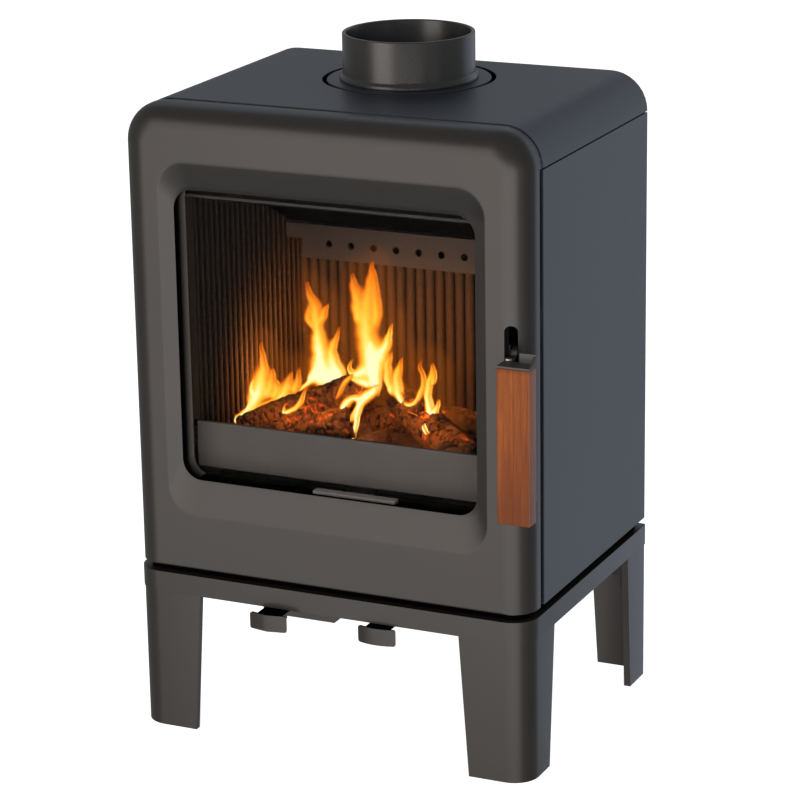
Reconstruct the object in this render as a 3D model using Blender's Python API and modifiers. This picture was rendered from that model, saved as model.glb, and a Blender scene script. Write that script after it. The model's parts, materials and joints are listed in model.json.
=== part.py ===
"""Cast iron wood stove on four legs: steel body, cast door, lined firebox, air controls and flue collar.

The stove's own axes: x to the viewer's right from the middle of the body, y backwards from the
door's front face, z up from the floor. One empty places the whole stove so that the middle of
the footprint of its bounding box is the world origin.
"""

import math

import bmesh
import bpy
from mathutils import Matrix, Vector

# General clearances

GAP = 0.0003                 # between two pieces that touch
OVER = 0.004                 # how far a cutter runs past the faces that it cuts
RUN = 0.0002                 # radial clearance of a pin that turns
BITE = 0.001                 # how deep a joined shape starts inside its piece
FLUSH = 0.0001               # keeps two joined faces out of one plane
LEAST_CORNER = 0.001

# The size that most others follow

BODY_WIDTH = 0.485
BODY_HALF = BODY_WIDTH / 2

# Base: the frame that carries the stove, and its legs

BASE_PROUD = 0.0015           # how far the frame stands out beyond the body at each side
BASE_HALF = BODY_HALF + BASE_PROUD
BASE_FRONT = -0.0015
BASE_BACK = 0.3595
BASE_BOTTOM = 0.165
BASE_TOP = 0.189
BASE_WALL = 0.008
BASE_FLANGE = 0.030          # inward flange on top, measured from the wall
BASE_FLANGE_T = 0.005
FRONT_CORNER = 0.030         # plan radius of the front corners, the same as on the door
BACK_CORNER = 0.004
LEG_INSET = 0.001
LEG_T = 0.008
LEG_FRONT_TOP = 0.083
LEG_FRONT_FOOT = 0.072
LEG_SIDE_TOP = 0.076
LEG_SIDE_FOOT = 0.061
LEG_BACK_TOP = 0.066
LEG_BACK_FOOT = 0.056
LEG_BACK_SIDE_TOP = 0.057
LEG_BACK_SIDE_FOOT = 0.046
LEG_BACK_LIFT = 0.0085         # how far the rear flange of a rear leg ends above the floor
LEG_TENON_T = 0.006
LEG_TENON_DROP = 0.040       # how far the tenon runs down behind the leg
LEG_TENON_WIDTH = 0.058
LEG_DROP_WIDTH = 0.048         # of the part of the tenon behind the leg
LEG_LUG_T = 0.008
LEG_LUG_WIDTH = 0.030
LEG_LUG_REACH = 0.035        # from the frame's side face to the inner end of the lug
LEG_BOLT_INSET = 0.025       # from the frame's side face
LEG_BOLT_BACK = 0.046        # from the frame's front or rear face
LEG_BOLT_R = 0.004
LEG_BOLT_HEAD_R = 0.0065
LEG_BOLT_HEAD_H = 0.005
LEG_BOLT_HOLE_R = 0.0046
SPACER_INSET = 0.010
SPACER_WALL = 0.005
SPACER_TOP = 0.1962

# Body: the sheet casing

BODY_BACK = 0.358
BODY_BOTTOM = 0.197
BODY_TOP = 0.729
TOP_CORNER = 0.044
PANEL_T = 0.004
PANEL_FRONT = 0.0465         # front edge of the side and top panels
TOP_SEAM = 0.0014
FLOOR_T = 0.005
SLOT_COUNT = 8
SLOT_WIDTH = 0.007
SLOT_HEIGHT = 0.052
SLOT_PITCH = 0.032
SLOT_TOP = 0.668

# Firebox shell and what lines it

SHELL_AIR = 0.0315           # between the shell and the outside of the casing
SHELL_HALF = BODY_HALF - SHELL_AIR
SHELL_BACK = 0.347
SHELL_TOP = 0.693
SHELL_T = 0.003
LINING_BACK = 0.328
LINING_TOP = 0.660
LINING_T = 0.0205
LINING_ROOM = 0.0005         # between a lining and the shell
LINING_HALF = SHELL_HALF - SHELL_T - LINING_ROOM - LINING_T
LINING_BACK_T = 0.0155
FLUTE_PITCH = 0.0127
FLUTE_DEPTH = 0.0042
FLUTE_START = 0.064
FLUTE_STEPS = 3
HEARTH_TOP = 0.296
HEARTH_T = 0.0237
RAIL_T = 0.004
RAIL_WIDTH = 0.013
GRATE_HALF = 0.100
GRATE_FRONT = 0.104
GRATE_BACK = 0.256
GRATE_T = 0.0095
GRATE_LEDGE = 0.010
GRATE_TRAVEL = 0.010
GRATE_ROOM = 0.005           # beyond the travel at each side
GRATE_END_ROOM = 0.001
GRATE_SLOTS = 8
GRATE_SLOT_WIDTH = 0.010
GRATE_SLOT_LENGTH = 0.112
GRATE_SLOT_PITCH = 0.0225
LEVER_X = 0.025
LEVER_WIDTH = 0.030
LEVER_T = 0.004
LEVER_BAR = 0.100
LEVER_BAR_DEPTH = 0.010
LEVER_FRONT = 0.0225
LEVER_STEP_FRONT = 0.060
LEVER_STEP_BACK = 0.068
LEVER_LIFT = 0.0062
LEVER_ROOM = 0.002
LEVER_UNDER = 0.001
GUARD_FRONT = 0.048
GUARD_T = 0.004
GUARD_TOP = 0.358
GUARD_LOW = 0.303
GUARD_FOOT = 0.034
DEFLECTOR_LOW = 0.6175
DEFLECTOR_T = 0.003
DEFLECTOR_FRONT = 0.043
DEFLECTOR_BACK = 0.070
DEFLECTOR_TOP = 0.650
AIR_BAR_FRONT = 0.290
AIR_BAR_LOW = 0.492
AIR_BAR_TOP = 0.533
AIR_BAR_T = 0.004
AIR_BAR_NOTCH = 0.021
AIR_BAR_NOTCH_TOP = 0.515
AIR_HOLES = 10
AIR_HOLE_PITCH = 0.0291
AIR_HOLE_R = 0.0043
AIR_HOLE_Z = 0.511
BAFFLE_FRONT = 0.122
BAFFLE_BACK = 0.300
BAFFLE_T = 0.020
BAFFLE_SLOPE = math.radians(26)
ROD_Y = 0.150
ROD_R = 0.005
ROD_SEAT = 0.009             # how deep the rod's ends sit in the side linings
ASH_RUNNER_TOP = 0.2117
ASH_RUNNER_X = 0.062
ASH_RUNNER_WIDTH = 0.010
ASH_RUNNER_BACK = 0.074      # the runners leave room for the air inlets behind them
ASH_STOP_FRONT = 0.160
ASH_HALF = 0.101
ASH_BACK = 0.322
ASH_TOP = 0.258
ASH_T = 0.002
ASH_FACE_T = 0.003
ASH_FACE_HALF = 0.110
ASH_FACE_TOP = 0.272
ASH_FACE_LOW = 0.2035
ASH_PULL_HALF = 0.030
ASH_PULL_OUT = 0.012

# Front plate behind the door

FRONT_PLATE_FACE = 0.0425
FRONT_PLATE_BACK = 0.0462
FRONT_PLATE_INSET = 0.006
MOUTH_HALF = LINING_HALF
MOUTH_BOTTOM = 0.296
MOUTH_TOP = 0.626
MOUTH_CORNER = 0.003
ASH_DOOR_HALF = 0.104
ASH_DOOR_TOP = 0.266
LATCH_SLOT_LOW = 0.454
LATCH_SLOT_TOP = 0.494
LATCH_SLOT_ROOM = 0.003
LATCH_SLOT_SWING = 0.0055    # extra width on the right for the blade's swing

# Flue

FLUE_Y = 0.240
FLUE_R = 0.075
FLUE_WALL = 0.0045
FLUE_STANDS = 0.053          # from the top of the body to the collar's rim
FLUE_TOP = BODY_TOP + FLUE_STANDS
FLUE_LOW = 0.683
FLUE_BEAD = 0.0035            # how far the bead stands out
FLUE_BEAD_R = FLUE_R + FLUE_BEAD
FLUE_BEAD_H = 0.0035
FLUE_BEAD_SLOPE = 0.0025
DISC_RIM = 0.0203            # width of the disc around the collar
DISC_R = FLUE_R + DISC_RIM
DISC_GAP = 0.003
DISC_BORE = 0.0010
DISC_SLEEVE_T = 0.004
FLUE_STEPS = 48

# Door

DOOR_BOTTOM = 0.1972
DOOR_BACK = 0.037
DOOR_EDGE = 0.030            # radius of the rounded front edge
DOOR_WALL = 0.007
DOOR_PLATE = 0.014           # rear face of the front wall, from the front face
DOOR_INNER_EDGE = 0.018
DOOR_FLOOR_T = 0.0063
WINDOW_MARGIN = 0.006        # from the window to the lining's face at each side
WINDOW_HALF = LINING_HALF - WINDOW_MARGIN
DISH_SLOPE = 0.015           # width of the dish at each side of the window
DISH_HALF = WINDOW_HALF + DISH_SLOPE
DISH_LOW = 0.260
DISH_TOP = 0.671
DISH_CORNER = 0.033
DISH_DEPTH = 0.008
WINDOW_LOW = 0.301
WINDOW_TOP = 0.637
WINDOW_CORNER = 0.024
GLASS_T = 0.004
GLASS_LAP = 0.009
GLASS_SEAL_T = 0.0017
GLASS_SEAL_WIDTH = 0.007
RETAINER_SIDE = 0.003        # from the window to the frame's inner edge at each side
RETAINER_HALF = WINDOW_HALF + RETAINER_SIDE
RETAINER_MARGIN = 0.0035     # the same, above and below
RETAINER_WIDTH = 0.0135
RETAINER_BACK = 0.041
RETAINER_LIP = 0.003
CHANNEL_FLOOR = 0.033
EAR_REACH = 0.012
EAR_HALF = 0.008
EAR_T = 0.0034
EAR_BOSS_R = 0.0055
EAR_ZS = (0.360, 0.570)
EAR_SCREW_R = 0.002
EAR_SCREW_HEAD_R = 0.0038
EAR_SCREW_HEAD_H = 0.0025
EAR_SCREW_DEPTH = 0.0085
EAR_SCREW_SINK = 0.010       # depth of the screw's hole, from the door's front face

# Hinges: the door lifts off two upright pins

HINGE_INSET = 0.0135         # from the door's left side
HINGE_X = HINGE_INSET - BODY_HALF
HINGE_Y = 0.019
HINGE_ZS = (0.250, 0.650)    # lower face of each bracket
HINGE_NAMES = ("lower", "upper")
HINGE_H = 0.014
EYE_R = 0.006
EYE_ROOM = 0.0008
ARM_T = 0.004
ARM_LOW = 0.0145             # front face of the arm, from the door's front face
ARM_RISE = 0.0294            # from the pin to the arm's outer side
FOOT_REACH = 0.0104
FOOT_T = 0.003
PIN_R = 0.003
PIN_HEAD_R = 0.0045
PIN_HEAD_H = 0.0025
BOSS_R = 0.0065
BOSS_H = 0.018
ARM_ROOM = 0.015             # length of the pocket for the arm, from the pin
PIN_SHORT = 0.002            # how far the pin stays below the top of its boss
PIN_CHAMFER = 0.001

# Handle: lever, pivot and latch blade

PIVOT_Y = 0.019
PIVOT_Z = 0.489
PIVOT_R = 0.004
PIVOT_BOSS_R = 0.009
LEVER_INSET = 0.0227         # from the door's right side, as the other insets below
LEVER_PLATE_LEFT = BODY_HALF - LEVER_INSET
LEVER_PLATE_T = 0.007
SLOT_INSET = 0.0238
SLOT_WIDE = 0.0097
SLOT_LEFT = BODY_HALF - SLOT_INSET
SLOT_RIGHT = SLOT_LEFT + SLOT_WIDE
SLOT_LOW = 0.460
SLOT_HIGH = 0.523
LUG_T = 0.0055
LUG_BACK = 0.029
LUG_HALF = 0.010
LUG_ROOM = 0.0005
ARM_TOP_Z = PIVOT_Z - 0.004
ARM_BOTTOM_Z = PIVOT_Z - 0.017
BLADE_LOW_Z = PIVOT_Z - 0.007
BLADE_TOP_Z = PIVOT_Z + 0.0025
BLADE_END_Y = 0.064
BLADE_NOSE = 0.004
HEEL_IN = 0.0036             # the lever's underside behind the pivot
HEEL_OUT = 0.0099
HEEL_DROP = 0.00945
KEEPER_T = 0.0095
KEEPER_H = 0.012
KEEPER_ROOM = 0.0005
KEEPER_INSET = 0.030
KEEPER_WIDE = 0.0245
KEEPER_LEFT = BODY_HALF - KEEPER_INSET
KEEPER_RIGHT = KEEPER_LEFT + KEEPER_WIDE
GRIP_INSET = 0.0235
GRIP_LEFT = BODY_HALF - GRIP_INSET
GRIP_WIDTH = 0.038
GRIP_FRONT = -0.028
GRIP_DEPTH = 0.018
GRIP_LOW = 0.312
GRIP_TOP = 0.485
GRIP_BEVEL = 0.0012
SHEET_T = 0.002
BACKPLATE_T = 0.0025
BACKPLATE_INSET = 0.015
BACKPLATE_LEFT = BODY_HALF - BACKPLATE_INSET
BACKPLATE_LOW = 0.335
TONGUE_BACK = 0.010
UPSTAND_INSET = 0.0045
UPSTAND_LEFT = BODY_HALF - UPSTAND_INSET
UPSTAND_TOP = 0.498
CHEEK_INSET = 0.002
GRIP_SCREW_INSET = 0.009
GRIP_SCREW_X = BODY_HALF - GRIP_SCREW_INSET
GRIP_SCREW_ZS = (0.352, 0.452)
GRIP_SCREW_R = 0.0018
GRIP_SCREW_HEAD_R = 0.0038
GRIP_SCREW_HEAD_H = 0.0022
GRIP_SCREW_LENGTH = 0.011
CAP_SCREW_Y = -0.0045
CAP_SCREW_LENGTH = 0.008
SCREW_ROOM = 0.0003
SCREW_CHAMFER = 0.001

# Air controls under the body

AIR_BOX_FRONT = 0.040
AIR_BOX_BACK = 0.140
AIR_BOX_T = 0.0025
AIR_BOX_CHAMFER = 0.008
SLIDER_LOW = 0.160
SLIDER_T = 0.003
SLIDER_WIDTH = 0.028
SLIDER_ROOM = 0.001
SHUTTER_WIDTH = 0.050
SHUTTER_SHOULDER = 0.004
SHUTTER_BACK_ROOM = 0.010
SHELF_T = 0.0035
TAB_LOW = 0.144
TAB_TOP = 0.1635
TAB_WIDTH = 0.046
TAB_BOW = 0.0045
TAB_T = 0.0025
TAB_STEPS = 6
# name, middle of the slider, box left, box right, box bottom, tab front, travel in, travel out
AIR_CONTROLS = (
    ("left", -0.065, -0.102, -0.003, 0.140, -0.022, 0.008, 0.022),
    ("right", 0.065, 0.034, 0.096, 0.150, -0.013, 0.000, 0.030),
)
AIR_INLET_HALF = 0.020
AIR_INLET_LENGTH = 0.042

# Logs on the grate: name, low end, high end, radius

LOGS = (
    ("log_back", (-0.128, 0.236, 0.3214), (0.116, 0.240, 0.3214), 0.025),
    ("log_left", (-0.162, 0.118, 0.3176), (-0.050, 0.2125, 0.3585), 0.022),
    ("log_right", (0.122, 0.124, 0.3187), (-0.004, 0.2105, 0.3579), 0.023),
)
LOG_SIDES = 10
LOG_TAPER = 0.94

# Worked out from the sizes above

FLOOR_LOW = SPACER_TOP + GAP
FLOOR_TOP = FLOOR_LOW + FLOOR_T
PANEL_IN = BODY_HALF - PANEL_T
SHELL_LOW = FLOOR_TOP + GAP
GRIP_RIGHT = GRIP_LEFT + GRIP_WIDTH
GRIP_BACK = GRIP_FRONT + GRIP_DEPTH
LEVER_PLATE_RIGHT = LEVER_PLATE_LEFT + LEVER_PLATE_T
STOVE_X = -(GRIP_RIGHT - BASE_HALF) / 2
STOVE_Y = -(GRIP_FRONT + BASE_BACK) / 2
GRATE_LOW = HEARTH_TOP - GRATE_T - GAP
SLEEVE_R = FLUE_R + DISC_BORE + DISC_SLEEVE_T

# The scene and its collections

for old in list(bpy.data.objects):
    bpy.data.objects.remove(old, do_unlink=True)

parts = bpy.data.collections.new("wood_stove")
cutters = bpy.data.collections.new("cutters")
bpy.context.scene.collection.children.link(parts)
bpy.context.scene.collection.children.link(cutters)


def axis_empty(name, place, carrier=None):
    """An empty at a place in the stove's axes; moving pieces hang from the one on their axis."""
    empty = bpy.data.objects.new(name, None)
    empty.empty_display_size = 0.03
    empty["place"] = place
    empty.parent = carrier
    origin = Vector(carrier["place"]) if carrier else Vector((0, 0, 0))
    empty.location = Vector(place) - origin
    parts.objects.link(empty)
    return empty


def finish(name, color, roughness, metallic=0.0, transmission=0.0):
    """A Principled material with one colour."""
    material = bpy.data.materials.new(name)
    material.use_nodes = True
    shader = material.node_tree.nodes["Principled BSDF"]
    shader.inputs["Base Color"].default_value = (*color, 1.0)
    shader.inputs["Roughness"].default_value = roughness
    shader.inputs["Metallic"].default_value = metallic
    shader.inputs["Transmission Weight"].default_value = transmission
    material.diffuse_color = (*color, 1.0)
    return material


PAINTED_CAST = finish("painted_cast_iron", (0.090, 0.082, 0.076), 0.62, 0.2)
PAINTED_SHEET = finish("painted_sheet", (0.068, 0.074, 0.086), 0.60, 0.2)
BLACK_STEEL = finish("black_steel", (0.022, 0.022, 0.023), 0.55, 0.6)
FIREBRICK = finish("soot_stained_lining", (0.070, 0.055, 0.045), 0.90)
GRATE_IRON = finish("grate_iron", (0.035, 0.032, 0.030), 0.75, 0.5)
BRIGHT_STEEL = finish("bright_steel", (0.45, 0.45, 0.46), 0.35, 1.0)
OILED_WOOD = finish("oiled_wood", (0.36, 0.13, 0.045), 0.45)
CLEAR_GLASS = finish("clear_glass", (0.92, 0.94, 0.94), 0.03, 0.0, 1.0)
ROPE_SEAL = finish("rope_seal", (0.12, 0.12, 0.12), 0.95)
CHARRED_WOOD = finish("charred_wood", (0.045, 0.030, 0.022), 0.95)

stove = axis_empty("stove", (0.0, 0.0, 0.0))
stove.location = (STOVE_X, STOVE_Y, 0.0)
door_axis = axis_empty("door_axis", (HINGE_X, HINGE_Y, 0.0), stove)
handle_axis = axis_empty("handle_axis", (0.0, PIVOT_Y, PIVOT_Z), door_axis)
grate_axis = axis_empty("grate_axis", (LEVER_X, LEVER_FRONT, HEARTH_TOP), stove)


# Outlines and solids

def arc(cx, cy, radius, start, end, steps):
    """Points on an arc, angles in degrees, both ends included."""
    turns = [math.radians(start + (end - start) * i / steps) for i in range(steps + 1)]
    return [(cx + radius * math.cos(t), cy + radius * math.sin(t)) for t in turns]


def rounded_box(low_u, high_u, low_v, high_v, low_r, high_r, steps=7):
    """A rectangle whose two low corners have one radius and its two high corners another."""
    points = arc(low_u + low_r, low_v + low_r, low_r, 180, 270, steps)
    points += arc(high_u - low_r, low_v + low_r, low_r, 270, 360, steps)
    points += arc(high_u - high_r, high_v - high_r, high_r, 0, 90, steps)
    points += arc(low_u + high_r, high_v - high_r, high_r, 90, 180, steps)
    return points


def box_outline(low_u, high_u, low_v, high_v):
    return [(low_u, low_v), (high_u, low_v), (high_u, high_v), (low_u, high_v)]


def arch_outline(half, low, high, radius, steps=8):
    """A door shape: square at the bottom, rounded at its two top corners."""
    points = [(-half, low), (half, low)]
    points += arc(half - radius, high - radius, radius, 0, 90, steps)
    points += arc(radius - half, high - radius, radius, 90, 180, steps)
    return points


# A flat outline is drawn in (u, v); these turn it so that its thickness runs along one axis.
PLANES = {
    "XY": Matrix.Identity(4),
    "XZ": Matrix(((1, 0, 0, 0), (0, 0, -1, 0), (0, 1, 0, 0), (0, 0, 0, 1))),
    "YZ": Matrix(((0, 0, 1, 0), (1, 0, 0, 0), (0, 1, 0, 0), (0, 0, 0, 1))),
}
ACROSS = {"XY": Vector((0, 0, 1)), "XZ": Vector((0, 1, 0)), "YZ": Vector((1, 0, 0))}


def flat_mesh(plane, outlines, low, high):
    """A plate: the first outline is its edge, the others are holes; low and high are its faces."""
    curve = bpy.data.curves.new("outline", "CURVE")
    curve.dimensions = "2D"
    curve.fill_mode = "BOTH"
    curve.extrude = (high - low) / 2
    for outline in outlines:
        spline = curve.splines.new("POLY")
        spline.points.add(len(outline) - 1)
        for point, (u, v) in zip(spline.points, outline):
            point.co = (u, v, 0, 1)
        spline.use_cyclic_u = True
    holder = bpy.data.objects.new("outline", curve)
    bpy.context.scene.collection.objects.link(holder)
    graph = bpy.context.evaluated_depsgraph_get()
    mesh = bpy.data.meshes.new_from_object(holder.evaluated_get(graph))
    bpy.data.objects.remove(holder)
    bm = bmesh.new()
    bm.from_mesh(mesh)
    bmesh.ops.remove_doubles(bm, verts=bm.verts, dist=0.000001)
    bmesh.ops.dissolve_limit(bm, angle_limit=0.0001, verts=bm.verts, edges=bm.edges)
    shift = Matrix.Translation(ACROSS[plane] * (low + high) / 2)
    bmesh.ops.transform(bm, matrix=shift @ PLANES[plane], verts=bm.verts)
    bmesh.ops.recalc_face_normals(bm, faces=bm.faces)
    bm.to_mesh(mesh)
    bm.free()
    return mesh


def block_mesh(low, high):
    """A box between two corners."""
    bm = bmesh.new()
    bmesh.ops.create_cube(bm, size=1.0)
    size = Vector(high) - Vector(low)
    bmesh.ops.scale(bm, vec=size, verts=bm.verts)
    bmesh.ops.translate(bm, vec=(Vector(low) + Vector(high)) / 2, verts=bm.verts)
    mesh = bpy.data.meshes.new("block")
    bm.to_mesh(mesh)
    bm.free()
    return mesh


AXES = {
    "X": Matrix.Rotation(math.radians(90), 4, "Y"),
    "Y": Matrix.Rotation(math.radians(-90), 4, "X"),
    "Z": Matrix.Identity(4),
}


def rods_mesh(axis, places, radius, low, high, sides=16):
    """Straight round rods along one axis, each through its own place, from low to high."""
    bm = bmesh.new()
    index = "XYZ".index(axis)
    for place in places:
        made = bmesh.ops.create_cone(bm, cap_ends=True, segments=sides, radius1=radius,
                                     radius2=radius, depth=high - low)
        middle = Vector(place)
        middle[index] = (low + high) / 2
        bmesh.ops.transform(bm, matrix=Matrix.Translation(middle) @ AXES[axis], verts=made["verts"])
    mesh = bpy.data.meshes.new("rods")
    bm.to_mesh(mesh)
    bm.free()
    return mesh


def place_mesh(name, mesh, carrier, collection):
    """An object whose mesh is in the stove's axes, hung from a carrier without moving it."""
    piece = bpy.data.objects.new(name, mesh)
    collection.objects.link(piece)
    piece.parent = carrier
    piece.location = -Vector(carrier["place"])
    return piece


def part(name, mesh, material, carrier=stove, smooth=None):
    """A sub-part of the stove."""
    piece = place_mesh(name, mesh, carrier, parts)
    piece.data.materials.append(material)
    if smooth:
        piece.data.shade_smooth()
        piece.data.set_sharp_from_angle(angle=math.radians(smooth))
    return piece


def combine(piece, operation, name, mesh):
    """Cuts a shape out of a piece, or joins it to the piece."""
    tool = place_mesh(f"{piece.name}_{name}", mesh, piece.parent, cutters)
    tool.hide_render = True
    tool.display_type = "WIRE"
    step = piece.modifiers.new(name, "BOOLEAN")
    step.operation = operation
    step.solver = "EXACT"
    step.object = tool
    return piece


def cut(piece, name, mesh):
    return combine(piece, "DIFFERENCE", name, mesh)


def join(piece, name, mesh):
    return combine(piece, "UNION", name, mesh)


def turned(name, profile, place, material, carrier=stove, axis="Z", steps=16, closed=False):
    """A round piece: a profile of (radius, height), its outer side from top to bottom, spun."""
    mesh = bpy.data.meshes.new(name)
    bm = bmesh.new()
    corners = [bm.verts.new((radius, 0, height)) for radius, height in profile]
    pairs = list(zip(corners, corners[1:]))
    if closed:
        pairs.append((corners[-1], corners[0]))
    for first, second in pairs:
        bm.edges.new((first, second))
    bm.to_mesh(mesh)
    bm.free()
    piece = place_mesh(name, mesh, carrier, parts)
    piece.location = Vector(place) - Vector(carrier["place"])
    piece.rotation_euler = AXES[axis].to_euler()
    piece.data.materials.append(material)
    screw = piece.modifiers.new("turn", "SCREW")
    screw.axis = "Z"
    screw.steps = steps
    screw.render_steps = steps
    screw.use_merge_vertices = True
    screw.merge_threshold = 0.00001
    screw.use_smooth_shade = True
    return piece


def screw_profile(head_r, head_h, shank_r, length):
    """A screw whose head rests at height 0 and whose shank points down."""
    return [(0, head_h), (head_r - SCREW_CHAMFER, head_h), (head_r, head_h - SCREW_CHAMFER), (head_r, 0),
            (shank_r, 0), (shank_r, -length), (0, -length)]


# Base frame, spacer and legs

def base_outline(inset):
    """The frame's plan shape, drawn inwards by an inset."""
    front_r = max(FRONT_CORNER - inset, LEAST_CORNER)
    back_r = max(BACK_CORNER - inset, LEAST_CORNER)
    half = BASE_HALF - inset
    return rounded_box(-half, half, BASE_FRONT + inset, BASE_BACK - inset, front_r, back_r)


def leg_bolt_places():
    """Each leg's name, its sign to the right, its sign to the back and its bolt's place."""
    for end, back in (("front", -1), ("rear", 1)):
        for side, right in (("left", -1), ("right", 1)):
            edge = BASE_FRONT if back < 0 else BASE_BACK
            x = right * (BASE_HALF - LEG_BOLT_INSET)
            yield f"{end}_{side}", right, back, (x, edge - back * LEG_BOLT_BACK, 0)


def make_base():
    frame = part("base_frame", flat_mesh("XY", [base_outline(0)], BASE_BOTTOM, BASE_TOP),
                 PAINTED_CAST, smooth=40)
    well = flat_mesh("XY", [base_outline(BASE_WALL)], BASE_BOTTOM - OVER, BASE_TOP - BASE_FLANGE_T)
    cut(frame, "well", well)
    window = flat_mesh("XY", [base_outline(BASE_WALL + BASE_FLANGE)], BASE_BOTTOM, BASE_TOP + OVER)
    cut(frame, "window", window)
    places = [place for _, _, _, place in leg_bolt_places()]
    cut(frame, "bolt_holes", rods_mesh("Z", places, LEG_BOLT_HOLE_R, BASE_BOTTOM, BASE_TOP + OVER, 12))
    ring = [base_outline(SPACER_INSET), base_outline(SPACER_INSET + SPACER_WALL)]
    part("plinth_spacer", flat_mesh("XY", ring, BASE_TOP + GAP, SPACER_TOP), BLACK_STEEL)


def angle_outline(width, depth, inset, thick, corner):
    """The plan of an angle: a outwards from the side face, b from the front or rear face."""
    outer = max(corner - inset, LEAST_CORNER)
    inner = max(corner - inset - thick, LEAST_CORNER)
    points = [(width, inset), (width, inset + thick)]
    points += arc(inset + thick + inner, inset + thick + inner, inner, 270, 180, 5)
    points += [(inset + thick, depth), (inset, depth)]
    points += arc(inset + outer, inset + outer, outer, 180, 270, 7)
    return points


def lean_cut(mesh, point, normal):
    """Cuts a leg's edge off along a sloping plane and closes it."""
    bm = bmesh.new()
    bm.from_mesh(mesh)
    geometry = bm.verts[:] + bm.edges[:] + bm.faces[:]
    bmesh.ops.bisect_plane(bm, geom=geometry, dist=0.000001, plane_co=point, plane_no=normal,
                           clear_outer=True)
    open_edges = [edge for edge in bm.edges if len(edge.link_faces) == 1]
    bmesh.ops.holes_fill(bm, edges=open_edges, sides=0)
    bmesh.ops.recalc_face_normals(bm, faces=bm.faces)
    bm.to_mesh(mesh)
    bm.free()


def make_leg(name, right, back, bolt):
    width, foot = (LEG_FRONT_TOP, LEG_FRONT_FOOT) if back < 0 else (LEG_BACK_TOP, LEG_BACK_FOOT)
    side_top, side_foot = ((LEG_SIDE_TOP, LEG_SIDE_FOOT) if back < 0
                           else (LEG_BACK_SIDE_TOP, LEG_BACK_SIDE_FOOT))
    corner = FRONT_CORNER if back < 0 else BACK_CORNER
    edge = BASE_FRONT if back < 0 else BASE_BACK

    def to_stove(points):
        return [(right * (BASE_HALF - a), edge - back * b) for a, b in points]

    shaft = angle_outline(width + LEG_INSET, side_top + LEG_INSET, LEG_INSET, LEG_T, corner)
    mesh = flat_mesh("XY", [to_stove(shaft)], 0, BASE_BOTTOM - GAP)
    x_top = right * (BASE_HALF - LEG_INSET - width)
    lean = Vector((BASE_BOTTOM, 0, foot - width)).normalized()
    lean_cut(mesh, (x_top, 0, BASE_BOTTOM), (-right * lean.x, 0, lean.z))
    y_top = edge - back * (LEG_INSET + side_top)
    lean = Vector((0, BASE_BOTTOM, side_foot - side_top)).normalized()
    lean_cut(mesh, (0, y_top, BASE_BOTTOM), (0, -back * lean.y, lean.z))
    leg = part(f"leg_{name}", mesh, PAINTED_CAST, smooth=40)
    tenon_top = BASE_TOP - BASE_FLANGE_T - GAP
    tenon = angle_outline(LEG_TENON_WIDTH, LEG_TENON_WIDTH, BASE_WALL + GAP, LEG_TENON_T, corner)
    join(leg, "tenon", flat_mesh("XY", [to_stove(tenon)], BASE_BOTTOM, tenon_top))
    drop = angle_outline(LEG_DROP_WIDTH, LEG_DROP_WIDTH, BASE_WALL + GAP, LEG_TENON_T, corner)
    join(leg, "tenon_drop", flat_mesh("XY", [to_stove(drop)], BASE_BOTTOM - LEG_TENON_DROP, tenon_top - BITE))
    near = BASE_WALL + GAP
    beside = (LEG_BOLT_BACK - LEG_LUG_WIDTH / 2, min(LEG_BOLT_BACK + LEG_LUG_WIDTH / 2, LEG_TENON_WIDTH))
    lug = to_stove(box_outline(near, LEG_LUG_REACH, *beside))
    join(leg, "lug", flat_mesh("XY", [lug], tenon_top - LEG_LUG_T, tenon_top))
    cut(leg, "bolt_hole", rods_mesh("Z", [bolt], LEG_BOLT_HOLE_R, tenon_top - LEG_LUG_T - OVER,
                                    tenon_top + OVER, 12))
    if back > 0:
        flange = to_stove(box_outline(LEG_INSET + LEG_T, LEG_INSET + width + OVER, -OVER,
                                      LEG_INSET + LEG_T + BITE))
        cut(leg, "rear_lift", flat_mesh("XY", [flange], -OVER, LEG_BACK_LIFT))
    length = BASE_FLANGE_T + LEG_LUG_T + GAP
    turned(f"leg_bolt_{name}", screw_profile(LEG_BOLT_HEAD_R, LEG_BOLT_HEAD_H, LEG_BOLT_R, length),
           (bolt[0], bolt[1], BASE_TOP + GAP), BRIGHT_STEEL, steps=6)


# Body casing

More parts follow.
